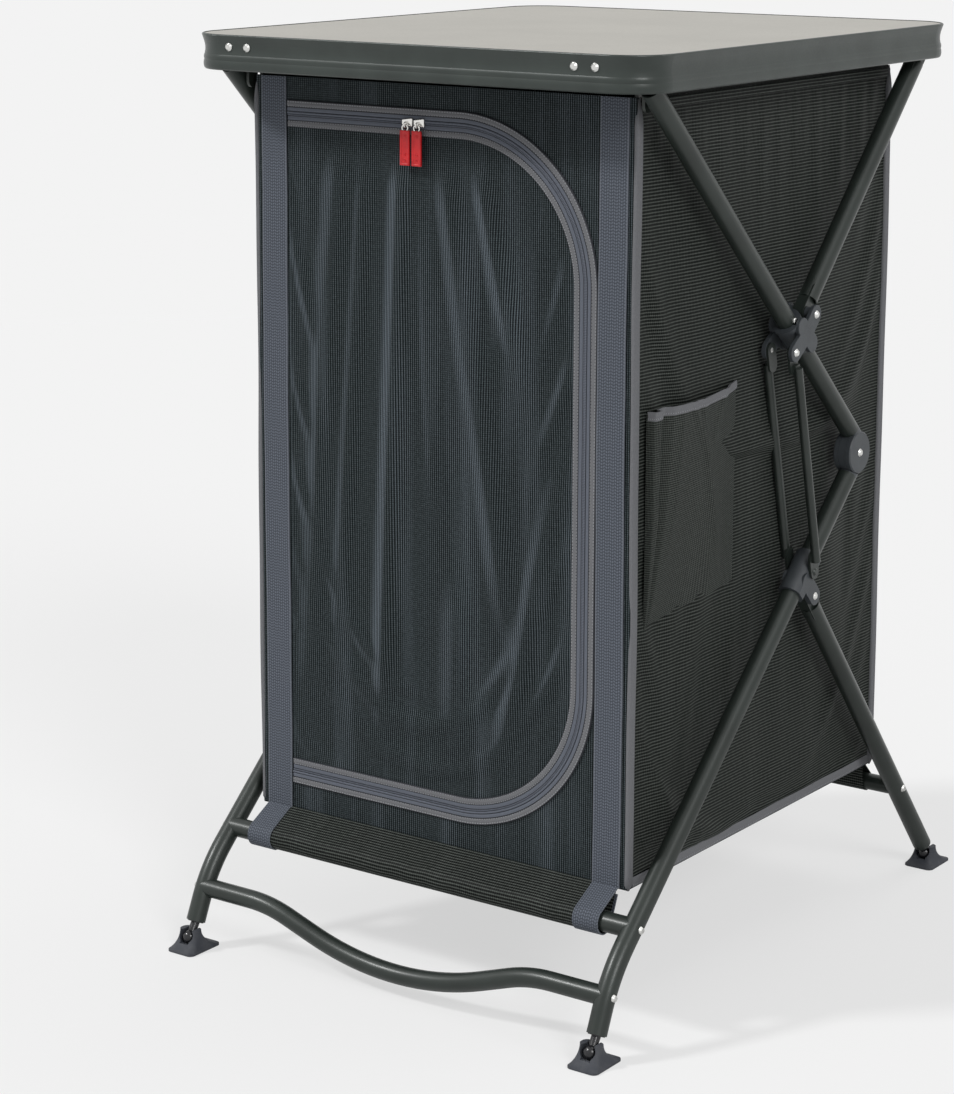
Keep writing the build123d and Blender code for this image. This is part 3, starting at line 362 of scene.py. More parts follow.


# Upright threads over level ones. The stronger set carries the painted sheen streaks of the folds and the
# painted light on slopes that face the key light; the crossings get painted glints.
def meshCloth(name, cloth):
    material, tree, shader = newMaterial(name, cloth["thread"], 0.45)
    across, rise, uv = uvAxes(tree)
    upright = threadWave(tree, across, weave["across"], weave["uprightSharp"])
    level = threadWave(tree, rise, cloth["down"], weave["levelSharp"])
    crossing = times(tree, upright, level)
    uprightPart = times(tree, upright, cloth["upright"])
    levelPart = times(tree, level, cloth["level"])
    threads = mathNode(tree, "MAXIMUM", uprightPart, levelPart)
    uneven = rampNode(tree, noiseNode(tree, *weave["uneven"], uv), [(0.3, grey(0.62)), (0.7, grey(1.0))])
    base = mixColour(tree, times(tree, threads, uneven), cloth["dark"], cloth["thread"])
    stretch = addNode(tree, "ShaderNodeMapping")
    stretch.inputs["Scale"].default_value = weave["paintedSheen"]
    tree.links.new(uv, stretch.inputs["Vector"])
    # Painted sheen: pale streaks along the folds, from stretched noise
    cloud = noiseNode(tree, *weave["paintedSheenNoise"], stretch.outputs["Vector"])
    paintedSheen = rampNode(tree, cloud, [(0.50, grey(0.0)), (0.80, grey(1.0))])
    lit = times(tree, paintedSheen, cloth["paintedSheenShare"])
    # Painted light on the slopes that face the key light
    if cloth["leans"] > 0:
        lit = mathNode(tree, "MAXIMUM", lit, times(tree, paintedSlopeLight(tree), cloth["leans"]))
    stronger = upright if cloth["upright"] > cloth["level"] else level
    lines = mathNode(tree, "POWER", stronger, weave["lineSharp"])
    # The painted sheen and painted slope light show in the lit colour along the stronger threads
    colour = mixColour(tree, times(tree, lit, lines), base, cloth["lit"])
    # Painted glints at the thread crossings
    paintedGlint = times(tree, mathNode(tree, "POWER", crossing, 3.0), noiseNode(tree, *weave["paintedGlint"], uv))
    colour = mixColour(tree, paintedGlint, colour, cloth["glint"])
    height = mathNode(tree, "ADD", threads, times(tree, crossing, 0.7))
    finishShader(tree, shader, colour, height, weave["bump"], cloth["specular"])
    return material


# Grey-blue webbing: slanted rows of picks, with painted shade darkening the valleys between them, and a
# paler woven edge
webbing = {
    # valleyShade: painted shade in the valleys between the picks
    "valleyShade": (0.020, 0.025, 0.034),
    "crown": (0.138, 0.155, 0.188),
    "edge": (0.140, 0.152, 0.178),
    "rows": 3.0 * mm,
    "cords": 2.6 * mm,
    "slant": 1.4 * mm,
    "slantWidth": 6 * mm,
    "edgeWidth": 1.3 * mm,
    "speck": (900, 2.0),
    "bump": (0.55, 0.5 * mm),
    "specular": 0.3,
}


def strapWebbing(name, width):
    material, tree, shader = newMaterial(name, webbing["crown"], 0.75)
    along, across, uv = uvAxes(tree)
    lean = times(tree, threadWave(tree, across, webbing["slantWidth"]), webbing["slant"])
    rows = threadWave(tree, mathNode(tree, "ADD", along, lean), webbing["rows"], 1.1)
    cords = threadWave(tree, across, webbing["cords"], 0.9)
    picks = times(tree, rows, cords)
    tone = weighted(tree, picks, 0.85, noiseNode(tree, *webbing["speck"], uv), 0.30)
    # Painted shade in the valleys between the picks
    colour = mixColour(tree, tone, webbing["valleyShade"], webbing["crown"])
    fromMiddle = mathNode(tree, "ABSOLUTE", across)
    atEdge = mathNode(tree, "GREATER_THAN", fromMiddle, width / 2 - webbing["edgeWidth"])
    colour = mixColour(tree, times(tree, atEdge, 0.7), colour, webbing["edge"])
    finishShader(tree, shader, colour, picks, webbing["bump"], webbing["specular"])
    return material


binding = {
    "dark": (0.075, 0.077, 0.083),
    "pale": (0.215, 0.219, 0.232),
    "thread": (0.25, 0.255, 0.27),
    # groove: painted shade where the stitches pull the tape in
    "groove": (0.030, 0.030, 0.036),
    "ribs": 1.1 * mm,
    # row: place, half width and pitch of the stitches, and how strongly painted shade darkens their groove
    "row": {"at": 2.2 * mm, "half": 0.45 * mm, "pitch": 3.2 * mm, "sunk": 0.6},
    "speck": (600, 3.0),
    "bump": (0.45, 0.5 * mm),
    "specular": 0.3,
}


# 1 on a line at a place across the tape, 0 beside it
def nearLine(tree, across, place, half):
    offset = mathNode(tree, "ABSOLUTE", mathNode(tree, "SUBTRACT", across, place))
    return mathNode(tree, "LESS_THAN", offset, half)


# A row of stitches along the tape, in the groove that they pull, with painted shade in the groove
def sewRow(tree, along, across, row, colour, height):
    near = nearLine(tree, across, row["at"], row["half"])
    dash = mathNode(tree, "GREATER_THAN", threadWave(tree, along, row["pitch"]), 0.45)
    stitch = times(tree, near, dash)
    # Painted shade in the groove beside the stitches
    colour = mixColour(tree, times(tree, near, row["sunk"]), colour, binding["groove"])
    colour = mixColour(tree, stitch, colour, binding["thread"])
    standing = mathNode(tree, "SUBTRACT", times(tree, stitch, 2.0), near)
    return colour, mathNode(tree, "ADD", height, standing)


# Ribbed grey binding tape with one row of stitches
def bindingTape(name):
    material, tree, shader = newMaterial(name, binding["pale"], 0.8)
    along, across, uv = uvAxes(tree)
    ribs = threadWave(tree, along, binding["ribs"], 0.8)
    tone = weighted(tree, ribs, 0.45, noiseNode(tree, *binding["speck"], uv), 0.55)
    colour = mixColour(tree, tone, binding["dark"], binding["pale"])
    colour, height = sewRow(tree, along, across, binding["row"], colour, ribs)
    finishShader(tree, shader, colour, height, binding["bump"], binding["specular"])
    return material


# Zip tape from the cloth's edge to the coil: grey binding, stitches, blue-grey tape, fine coil
zipBand = {
    "tape": (0.055, 0.064, 0.084),
    "pale": (0.150, 0.165, 0.200),
    "coil": (0.016, 0.021, 0.034),
    "line": (0.008, 0.010, 0.015),
    "ribs": 1.0 * mm,
    "cords": 0.9 * mm,
    "teeth": 1.5 * mm,
    "tapeFrom": 7.2 * mm,
    "coilFrom": 11.6 * mm,
    "lines": (0.4 * mm, 6.8 * mm, 11.3 * mm),
    "lineHalf": 0.5 * mm,
    "rows": (1.6 * mm, 5.9 * mm),
    "pitch": 3.0 * mm,
    # sunk: how strongly painted shade darkens the groove beside each row
    "sunk": 0.65,
    "speck": (700, 3.0),
    "bump": (0.5, 0.5 * mm),
    "specular": 0.3,
}


def zipTapeMaterial():
    material, tree, shader = newMaterial("zipTape", zipBand["tape"], 0.7)
    along, across, uv = uvAxes(tree)
    ribs = threadWave(tree, along, zipBand["ribs"], 0.8)
    speck = noiseNode(tree, *zipBand["speck"], uv)
    tone = weighted(tree, ribs, 0.4, speck, 0.6)
    bindingColour = mixColour(tree, tone, binding["dark"], binding["pale"])
    cords = threadWave(tree, across, zipBand["cords"], 0.7)
    tapeTone = times(tree, mathNode(tree, "ADD", cords, speck), 0.55)
    tapeColour = mixColour(tree, tapeTone, zipBand["tape"], zipBand["pale"])
    teeth = threadWave(tree, along, zipBand["teeth"], 0.6)
    coilColour = mixColour(tree, teeth, zipBand["coil"], zipBand["pale"])
    onTape = mathNode(tree, "GREATER_THAN", across, zipBand["tapeFrom"])
    onCoil = mathNode(tree, "GREATER_THAN", across, zipBand["coilFrom"])
    colour = mixColour(tree, onTape, bindingColour, tapeColour)
    colour = mixColour(tree, onCoil, colour, coilColour)
    for place in zipBand["lines"]:
        line = nearLine(tree, across, place, zipBand["lineHalf"])
        colour = mixColour(tree, times(tree, line, 0.9), colour, zipBand["line"])
    height = weighted(tree, ribs, 1.0, times(tree, onCoil, teeth), 2.0)
    for place in zipBand["rows"]:
        row = {"at": place, "half": zipBand["lineHalf"], "pitch": zipBand["pitch"], "sunk": zipBand["sunk"]}
        colour, height = sewRow(tree, along, across, row, colour, height)
    finishShader(tree, shader, colour, height, zipBand["bump"], zipBand["specular"])
    return material


materials = {
    "frame_paint": powderPaint("framePaint", *framePaint),
    "joint_plastic": solidFinish("jointPlastic", jointPlastic),
    "stem_plastic": solidFinish("stemPlastic", stemPlastic),
    "top_laminate": topLaminate(),
    "rivet_steel": solidFinish("rivetSteel", rivetSteel),
    "foot_rubber": solidFinish("footRubber", footRubber),
    "zip_metal": solidFinish("zipMetal", zipMetal),
    "red_pull": solidFinish("redPull", redPull),
    "shelf_board": solidFinish("shelfBoard", shelfBoard),
}
# Lighter copy of the frame paint for the rim: painted light
rimLitFinish = powderPaint("rimLitPaint", *rimLitPaint)
frontMesh = meshCloth("frontMesh", frontCloth)
sideMesh = meshCloth("sideMesh", sideCloth)
pocketMesh = meshCloth("pocketMesh", pocketCloth)
strapWidth = 31 * mm
strapMaterial = strapWebbing("strapWebbing", strapWidth)
cornerTape = bindingTape("cornerTape")
zipTape = zipTapeMaterial()
print("materials made")


# Making pieces

def deselectAll():
    if bpy.context.mode != "OBJECT":
        bpy.ops.object.mode_set(mode="OBJECT")
    bpy.ops.object.select_all(action="DESELECT")


def selectOnly(piece):
    deselectAll()
    piece.select_set(True)
    bpy.context.view_layer.objects.active = piece


def addModifier(piece, kind, **settings):
    modifier = piece.modifiers.new(kind.lower(), kind)
    for key, value in settings.items():
        setattr(modifier, key, value)
    selectOnly(piece)
    bpy.ops.object.modifier_apply(modifier=modifier.name)


# A grid laid out by place(u, v), with its cloth map in metres. size is its width and height
def gridPiece(name, columns, rows, place, size):
    deselectAll()
    bpy.ops.mesh.primitive_grid_add(x_subdivisions=columns, y_subdivisions=rows, size=1)
    piece = bpy.context.object
    piece.name = name
    data = piece.data
    data.uv_layers[0].name = "cloth"
    flat = [(vertex.co.x + 0.5, vertex.co.y + 0.5) for vertex in data.vertices]
    uvLayer = data.uv_layers["cloth"].data
    for loop in data.loops:
        u, v = flat[loop.vertex_index]
        uvLayer[loop.index].uv = (u * size[0], v * size[1])
    for vertex, (u, v) in zip(data.vertices, flat):
        vertex.co = place(u, v)
    return piece


# Puts the middle of the tape at 0 across
def centreMap(piece, width):
    for loop in piece.data.uv_layers["cloth"].data:
        loop.uv = (loop.uv[0], loop.uv[1] - width / 2)


# Selects the faces that the test picks, and leaves the piece in edit mode
def editFaces(piece, wanted):
    selectOnly(piece)
    bpy.ops.object.mode_set(mode="EDIT")
    bpy.ops.mesh.select_mode(type="FACE")
    bpy.ops.object.mode_set(mode="OBJECT")
    for polygon in piece.data.polygons:
        polygon.select = wanted(polygon)
    bpy.ops.object.mode_set(mode="EDIT")


# Deletes the faces whose middle the test picks
def dropFaces(piece, unwanted):
    editFaces(piece, lambda polygon: unwanted(polygon.center))
    bpy.ops.mesh.delete(type="FACE")
    bpy.ops.object.mode_set(mode="OBJECT")


def giveWall(piece, thickness, offset=-1.0):
    addModifier(piece, "SOLIDIFY", thickness=thickness, offset=offset)


def faceOutwards(piece):
    selectOnly(piece)
    bpy.ops.object.mode_set(mode="EDIT")
    bpy.ops.mesh.select_all(action="SELECT")
    bpy.ops.mesh.normals_make_consistent(inside=False)
    bpy.ops.object.mode_set(mode="OBJECT")


def smooth(piece, angle=50):
    selectOnly(piece)
    bpy.ops.object.shade_smooth_by_angle(angle=math.radians(angle))


def finishPiece(piece, bodyName, material, squashed=False):
    piece.data.materials.clear()
    piece.data.materials.append(material)
    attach(piece, bodyName)
    if squashed:
        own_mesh(piece)
    return piece


clothSheet = {"wall": 0.7 * mm, "cell": 6 * mm, "wideCell": 8 * mm}


def clothGrid(name, place, size, cell):
    return gridPiece(name, round(size[0] / cell), round(size[1] / cell), place, size)


# Gives a cloth its thickness and finish, in place of its CAD node
def finishCloth(piece, bodyName, nodeName, material, angle=80, squashed=True):
    giveWall(piece, clothSheet["wall"])
    smooth(piece, angle)
    finishPiece(piece, bodyName, material, squashed)
    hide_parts(nodeName)


# Gives a tape its thickness and finish
def finishTape(piece, bodyName, material, wall, offset=-1.0, squashed=True):
    giveWall(piece, wall, offset)
    faceOutwards(piece)
    smooth(piece, 60)
    return finishPiece(piece, bodyName, material, squashed)


simulation = {
    "frames": 26,
    "cloth": {
        "quality": 6,
        "mass": 0.25,
        "tension_stiffness": 12,
        "compression_stiffness": 12,
        "shear_stiffness": 6,
        "bending_stiffness": 0.8,
        "tension_damping": 6,
    },
}


# Lets the cloth, cut a little too large, settle between its pinned seams, then caps how far it moved
def settleCloth(piece, isPinned, outward, fit):
    start = [vertex.co.copy() for vertex in piece.data.vertices]
    pins = piece.vertex_groups.new(name="pins")
    pins.add([vertex.index for vertex in piece.data.vertices if isPinned(vertex.co)], 1.0, "REPLACE")
    cloth = piece.modifiers.new("cloth", "CLOTH")
    for key, value in simulation["cloth"].items():
        setattr(cloth.settings, key, value)
    cloth.settings.vertex_group_mass = "pins"
    cloth.settings.shrink_min = -fit["slack"]
    cloth.collision_settings.use_collision = False
    cloth.point_cache.frame_start = 1
    cloth.point_cache.frame_end = simulation["frames"]
    scene = bpy.context.scene
    for step in range(1, simulation["frames"] + 1):
        scene.frame_set(step)
    graph = bpy.context.evaluated_depsgraph_get()
    settled = piece.evaluated_get(graph).to_mesh()
    ends = [vertex.co.copy() for vertex in settled.vertices]
    piece.evaluated_get(graph).to_mesh_clear()
    piece.modifiers.remove(cloth)
    scene.frame_set(1)
    direction = Vector(outward)
    for vertex, first, last in zip(piece.data.vertices, start, ends):
        move = last - first
        out = max(-fit["mostIn"], min(fit["mostOut"], move.dot(direction)))
        side = move - direction * move.dot(direction)
        if side.length > fit["mostOut"]:
            side = side.normalized() * fit["mostOut"]
        vertex.co = first + direction * out + side


def bell(distance, width):
    return math.exp(-(distance / width) ** 2)


# The door outline, from the hinge side along the top, round the zip side and back along the bottom

straightRun = door["right"] - door["radius"] - door["left"]
uprightRun = door["top"] - door["bottom"] - 2 * door["radius"]


def outlineLength(inset):
    return 2 * straightRun + uprightRun + math.pi * (door["radius"] - inset)


# Point (x, z) on the door's outline, moved inwards by inset, at a share of its length
def outlinePoint(share, inset):
    radius = door["radius"] - inset
    bend = math.pi / 2 * door["radius"]
    run = share * (2 * straightRun + uprightRun + 2 * bend)
    cornerX = door["right"] - door["radius"]
    topZ = door["top"] - door["radius"]
    bottomZ = door["bottom"] + door["radius"]
    if run < straightRun:
        return door["left"] + run, door["top"] - inset
    run -= straightRun
    if run < bend:
        angle = run / door["radius"]
        return cornerX + radius * math.sin(angle), topZ + radius * math.cos(angle)
    run -= bend
    if run < uprightRun:
        return door["right"] - inset, topZ - run
    run -= uprightRun
    if run < bend:
        angle = run / door["radius"]
        return cornerX + radius * math.cos(angle), bottomZ - radius * math.sin(angle)
    run -= bend
    return cornerX - run, door["bottom"] + inset


# True where a point lies inside the door's outline, moved inwards by inset
def insideOutline(x, z, inset):
    right = door["right"] - inset
    top = door["top"] - inset
    bottom = door["bottom"] + inset
    radius = door["radius"] - inset
    if x > right or z > top or z < bottom:
        return False
    cornerX = right - radius
    for cornerZ, above in ((top - radius, True), (bottom + radius, False)):
        beyond = z > cornerZ if above else z < cornerZ
        if x > cornerX and beyond and math.hypot(x - cornerX, z - cornerZ) > radius:
            return False
    return True


# Front: the fixed surround and the door leaf

# Soft folds of the door: place at the top and bottom, width and height, start and end, all as shares
doorFolds = [
    {"top": 0.19, "bottom": 0.01, "width": 0.045, "height": 5.0, "from": 1.00, "to": 0.05},
    {"top": 0.27, "bottom": 0.13, "width": 0.026, "height": 4.0, "from": 0.98, "to": 0.15},
    {"top": 0.385, "bottom": 0.30, "width": 0.026, "height": 6.0, "from": 0.98, "to": 0.08},
    {"top": 0.50, "bottom": 0.82, "width": 0.040, "height": 5.5, "from": 0.97, "to": 0.25},
    {"top": 0.60, "bottom": 1.05, "width": 0.032, "height": 6.5, "from": 0.98, "to": 0.58},
    {"top": 0.90, "bottom": 0.99, "width": 0.030, "height": 5.0, "from": 0.92, "to": 0.62},
    {"top": 1.10, "bottom": 0.66, "width": 0.040, "height": 6.5, "from": 0.58, "to": 0.05},
    {"top": 0.60, "bottom": 0.55, "width": 0.045, "height": 4.0, "from": 0.40, "to": 0.04},
]


foldFade = {"top": 0.10, "bottom": 0.15}


# How far the cloth stands out, from its list of folds. v is 1 at the top
def foldHeight(u, v, folds):
    out = 0.0
    for item in folds:
        middle = item["bottom"] + (item["top"] - item["bottom"]) * v
        fade = min(1, max(0, (item["from"] - v) / foldFade["top"]))
        fade *= min(1, max(0, (v - item["to"]) / foldFade["bottom"]))
        out += item["height"] * mm * bell(u - middle, item["width"]) * fade
    return out


leafFit = {
    "lap": 3 * mm,
    "cut": 17 * mm,
    "hingeFade": 40 * mm,
    "seamFade": 60 * mm,
    "fadeSteps": 8,
    "hingePin": 4 * mm,
    "slack": 0.003,
    "mostOut": 8 * mm,
    "mostIn": 0.4 * mm,
    "areaShare": 0.88,
}


def makeDoorLeaf():
    width = door["right"] - door["left"]
    height = door["top"] - door["bottom"]
    inner = door["band"] - leafFit["lap"]

    # 0 at the seams, 1 well inside them
    def edgeFade(x, z):
        for step in range(leafFit["fadeSteps"]):
            inside = step / leafFit["fadeSteps"]
            nearHinge = x - door["left"] <= inside * leafFit["hingeFade"]
            if nearHinge or not insideOutline(x, z, inner + inside * leafFit["seamFade"]):
                return inside
        return 1.0

    def place(u, v):
        x = door["left"] + u * width
        z = door["bottom"] + v * height
        out = foldHeight(u, v, doorFolds) * edgeFade(x, z)
        return Vector((x, body["front"] - out, z))

    def pinned(point):
        atHinge = point.x < door["left"] + leafFit["hingePin"]
        return atHinge or not insideOutline(point.x, point.z, inner)

    leaf = clothGrid("doorLeaf", place, (width, height), clothSheet["cell"])
    dropFaces(leaf, lambda centre: not insideOutline(centre.x, centre.z, leafFit["cut"]))
    settleCloth(leaf, pinned, (0, -1, 0), leafFit)
    addModifier(leaf, "SUBSURF", levels=1, render_levels=1)
    finishCloth(leaf, "door", "door_panel", frontMesh)


surroundFit = {"cut": 8 * mm, "ripple": 0.35 * mm, "areaShare": 0.31}


def makeSurround():

    def place(u, v):
        x = body["left"] + u * bodyWidth
        z = body["bottom"] + v * bodyHeight
        ripple = math.sin(x * 70 + math.sin(z * 9) * 1.5) * bell(v - 1, 0.10)
        ripple += 0.8 * math.sin(x * 95 + 2) * bell(v, 0.07)
        return Vector((x, body["front"] - surroundFit["ripple"] * (1 + ripple), z))

    def inDoorway(centre):
        return insideOutline(centre.x, centre.z, surroundFit["cut"]) and centre.x > door["left"]

    size = (bodyWidth, bodyHeight)
    surround = clothGrid("frontSurround", place, size, clothSheet["cell"])
    dropFaces(surround, inDoorway)
    finishCloth(surround, "table", "front_surround", frontMesh)


# Zip band: heights across the tape, from its sewn edge to the coil
tapeProfile = [
    (0.0, 0.3), (0.5, 1.3), (1.3, 1.7), (1.9, 1.3), (3.6, 1.6), (5.4, 1.4), (6.0, 0.9),
    (6.7, 1.5), (7.4, 1.0), (9.0, 1.2), (10.6, 0.9), (11.4, 1.1), (12.2, 1.8), (13.2, 1.2),
]


def tapeHeight(distance):
    for (start, low), (end, high) in zip(tapeProfile, tapeProfile[1:]):
        if distance <= end:
            share = (distance - start) / (end - start)
            return low + (high - low) * share
    return tapeProfile[-1][1]


bandTape = {
    "across": 13.2 * mm,
    "lift": 0.4 * mm,
    "heightShare": 0.95,
    "wall": 0.6 * mm,
    "grid": (260, 26),
}


# One half of the zip: its binding at edgeInset, its coil towards the middle of the band
def makeTape(name, bodyName, nodeName, edgeInset, towards):

    def place(u, v):
        distance = v * bandTape["across"]
        x, z = outlinePoint(u, edgeInset + towards * distance)
        height = tapeHeight(distance / mm) * mm * bandTape["heightShare"]
        return Vector((x, body["front"] - bandTape["lift"] - height, z))

    size = (outlineLength(door["band"] / 2), bandTape["across"])
    tape = gridPiece(name, *bandTape["grid"], place, size)
    finishTape(tape, bodyName, zipTape, bandTape["wall"])
    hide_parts(nodeName)


# Straps

strap = {
    "wall": 1.3 * mm,
    "x": 202 * mm,
    "lift": 0.5 * mm,
    "wave": 0.5 * mm,
    "crown": 0.35 * mm,
    "wander": 0.6 * mm,
    "grid": (90, 12),
}


# Upright webbing on the front (facing -1) or the back (facing 1)
def makeStrap(name, middleX, facing):
    surface = body["front"] if facing < 0 else body["back"]

    def place(u, v):
        side = (v - 0.5) * strapWidth
        edge = abs(v - 0.5) * 2
        wave = strap["wave"] * math.sin(u * 17 + middleX * 9) * edge
        crown = strap["crown"] * (1 - edge ** 6)
        wander = strap["wander"] * math.sin(u * 8 + middleX * 30)
        y = surface + facing * (strap["lift"] + crown + abs(wave))
        return Vector((middleX + side + wander, y, body["bottom"] + u * bodyHeight))

    piece = gridPiece(name, *strap["grid"], place, (bodyHeight, strapWidth))
    centreMap(piece, strapWidth)
    return finishTape(piece, "table", strapMaterial, strap["wall"], offset=facing)


# Corner bindings: a folded tape that stands on each upright corner, with a stitched gap beside it

cornerBinding = {
    "width": 10 * mm,
    "proud": 2.6 * mm,
    "reach": 3.2 * mm,
    "lap": 1.5 * mm,
    "tip": 22 * mm,
    "foot": 6 * mm,
    "below": 2 * mm,
    "sway": 0.8 * mm,
    "leastSize": 0.25,
    "grid": (120, 20),
}


# (along the wall, out from it) of the folded tape, round its back and front
def bindingProfile(share):
    angle = 2 * math.pi * share
    flat = abs(math.cos(angle)) ** 0.6 * math.copysign(1, math.cos(angle))
    out = abs(math.sin(angle)) ** 0.7 * math.copysign(1, math.sin(angle))
    groove = 0.16 * bell(flat + 0.15, 0.20) if out > 0 else 0
    return flat, out - groove


# Binding on the side wall next to an upright corner. inward is 1 at the front, -1 at the back
def makeCornerBinding(name, sideX, wallY, inward):
    outward = math.copysign(1, sideX)
    thick = cornerBinding["proud"] + cornerBinding["reach"]
    middleX = sideX + outward * (cornerBinding["proud"] - thick / 2)
    middleY = wallY + inward * (cornerBinding["width"] / 2 - cornerBinding["lap"])
    around = 2 * (cornerBinding["width"] + thick)

    def place(u, v):
        along, out = bindingProfile(v)
        tip = min(1, (1 - u) * bodyHeight / cornerBinding["tip"]) ** 0.7
        foot = min(1, u * bodyHeight / cornerBinding["foot"]) ** 0.5
        size = max(cornerBinding["leastSize"], min(tip, foot))
        sway = cornerBinding["sway"] * (math.sin(u * 9 + sideX * 20) + 0.5 * math.sin(u * 23))
        y = middleY + inward * sway + along * cornerBinding["width"] / 2 * size
        x = middleX + outward * out * thick / 2 * size
        z = body["bottom"] - cornerBinding["below"] + u * (bodyHeight + cornerBinding["below"])
        return Vector((x, y, z))

    piece = gridPiece(name, *cornerBinding["grid"], place, (bodyHeight, around))
    selectOnly(piece)
    bpy.ops.object.mode_set(mode="EDIT")
    bpy.ops.mesh.select_all(action="SELECT")
    bpy.ops.mesh.remove_doubles(threshold=0.02 * mm)
    bpy.ops.mesh.select_all(action="DESELECT")
    bpy.ops.mesh.select_mode(type="EDGE")
    bpy.ops.mesh.select_non_manifold(
        extend=False, use_wire=False, use_multi_face=False, use_non_contiguous=False, use_verts=False
    )
    bpy.ops.mesh.fill_holes(sides=0)
    bpy.ops.object.mode_set(mode="OBJECT")
    faceOutwards(piece)
    smooth(piece, 60)
    return finishPiece(piece, "table", cornerTape, squashed=True)


# Side walls, back and floor

sideFolds = [
    {"top": 0.30, "bottom": 0.10, "width": 0.10, "height": 3.0, "from": 0.95, "to": 0.40},
    {"top": 0.75, "bottom": 0.55, "width": 0.12, "height": 3.5, "from": 0.90, "to": 0.30},
    {"top": 0.95, "bottom": 0.62, "width": 0.08, "height": 3.0, "from": 0.60, "to": 0.02},
    {"top": 0.68, "bottom": 0.02, "width": 0.045, "height": 5.0, "from": 0.42, "to": 0.02},
    {"top": 0.40, "bottom": 0.02, "width": 0.035, "height": 4.5, "from": 0.55, "to": 0.04},
    {"top": 0.55, "bottom": 0.88, "width": 0.07, "height": 3.5, "from": 0.55, "to": 0.05},
]
wallFit = {
    "bulge": 1.0 * mm,
    "pinned": 9 * mm,
    "shelfPin": 5 * mm,
    "slack": 0.010,
    "mostOut": 7 * mm,
    "mostIn": 1.5 * mm,
}


# An upright cloth wall from corner along its length, bulging outwards a little
def makeWall(name, nodeName, corner, along, outward, span, material):
    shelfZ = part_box("middle_shelf")[0][2]
    shelfShare = (shelfZ - body["bottom"]) / bodyHeight

    def place(u, v):
        edge = min(1, 6 * min(u, 1 - u)) * min(1, 8 * min(v, 1 - v))
        pull = 1 - 0.75 * bell(v - shelfShare, 0.03)
        out = (foldHeight(u, v, sideFolds) + wallFit["bulge"]) * edge * pull
        return corner + along * (u * span) + Vector((0, 0, v * bodyHeight)) + outward * out

    def pinned(point):
        offset = (point - corner).dot(along)
        atEdge = offset < wallFit["pinned"] or offset > span - wallFit["pinned"]
        atFoot = point.z < body["bottom"] + wallFit["pinned"]
        atTop = point.z > body["top"] - wallFit["pinned"]
        return atEdge or atFoot or atTop or abs(point.z - shelfZ) < wallFit["shelfPin"]

    piece = clothGrid(name, place, (span, bodyHeight), clothSheet["wideCell"])
    settleCloth(piece, pinned, outward, wallFit)
    addModifier(piece, "SUBSURF", levels=1, render_levels=1)
    finishCloth(piece, "table", nodeName, material)


floorCloth = {"inset": 0.4 * mm, "grid": (40, 44)}


def makeFloorCloth():
    low, high = floorBox
    width = high[0] - low[0]
    length = high[1] - low[1]

    def place(u, v):
        return Vector((low[0] + u * width, low[1] + v * length, high[2] - floorCloth["inset"]))

    piece = gridPiece("floorCloth", *floorCloth["grid"], place, (width, length))
    finishCloth(piece, "table", "floor_panel", frontMesh)


hem = {
    "height": 10 * mm,
    "wall": 1.2 * mm,
    "lift": 0.9 * mm,
    "crown": 0.6 * mm,
    "wave": 0.4 * mm,
    "inset": 8 * mm,
    "drop": 12 * mm,
    "grid": (80, 8),
}


# Flat binding along the top or bottom edge of a wall
def makeHem(name, start, along, outward, length, lowZ, material):

    def place(u, v):
        wave = hem["wave"] * math.sin(u * 31 + lowZ * 40)
        crown = hem["crown"] * math.sin(math.pi * v) ** 0.5 if 0 < v < 1 else 0
        rise = Vector((0, 0, lowZ - start.z + v * hem["height"]))
        return start + along * (u * length) + rise + outward * (hem["lift"] + crown + wave)

    piece = gridPiece(name, *hem["grid"], place, (length, hem["height"]))
    finishTape(piece, "table", material, hem["wall"])


# Pocket on the right wall

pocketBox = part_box("side_pocket")
pocket = {
    "front": pocketBox[0][1],
    "back": pocketBox[1][1],
    "bottom": pocketBox[0][2],
    "top": pocketBox[1][2],
    "wall": body["right"],
    "proud": 10 * mm,
    "pleats": 18 * mm,
    "lift": 1.2 * mm,
    "slant": 16 * mm,
    "rearRise": 6 * mm,
    "openAt": 0.5,
    "gather": 0.85,
    "gatherTo": 0.75,
    "gatherFade": 0.35,
    "grid": (90, 60),
}
pocketTape = {
    "height": 9 * mm,
    "lift": 1.1 * mm,
    "fold": 0.7 * mm,
    "above": 0.8 * mm,
    "wall": 2.2 * mm,
    "grid": (120, 8),
}

# Creases of the pocket: height, place at its top, lean, width, and where and how fast each starts
pocketCreases = [
    {"height": 1.6 * mm, "at": 0.62, "lean": 0.25, "width": 0.030, "from": 0.0, "growth": 2.0},
    {"height": 2.4 * mm, "at": 0.88, "lean": -0.60, "width": 0.028, "from": 0.62, "growth": 2.6},
    {"height": 1.8 * mm, "at": 0.52, "lean": 0.60, "width": 0.026, "from": 0.66, "growth": 2.9},
]

# The pocket's mouth seen from above: share of the way to the back, share of how far it stands out
mouthSteps = {"along": 2.2, "out": 0.25}
mouth = [
    (0.0, 0.05), (0.01, 0.9), (0.08, 1.0), (0.10, 0.25), (0.18, 0.08),
    (0.23, 0.75), (0.33, 1.0), (0.55, 0.9), (0.8, 0.5), (1.0, 0.05),
]


def mouthStep(first, last):
    return math.hypot((last[0] - first[0]) * mouthSteps["along"], (last[1] - first[1]) * mouthSteps["out"])


def alongMouth(share):
    pairs = list(zip(mouth, mouth[1:]))
    run = share * sum(mouthStep(first, last) for first, last in pairs)
    for first, last in pairs:
        length = mouthStep(first, last)
        if run <= length:
            part = run / length
            return first[0] + (last[0] - first[0]) * part, first[1] + (last[1] - first[1]) * part
        run -= length
    return mouth[-1]


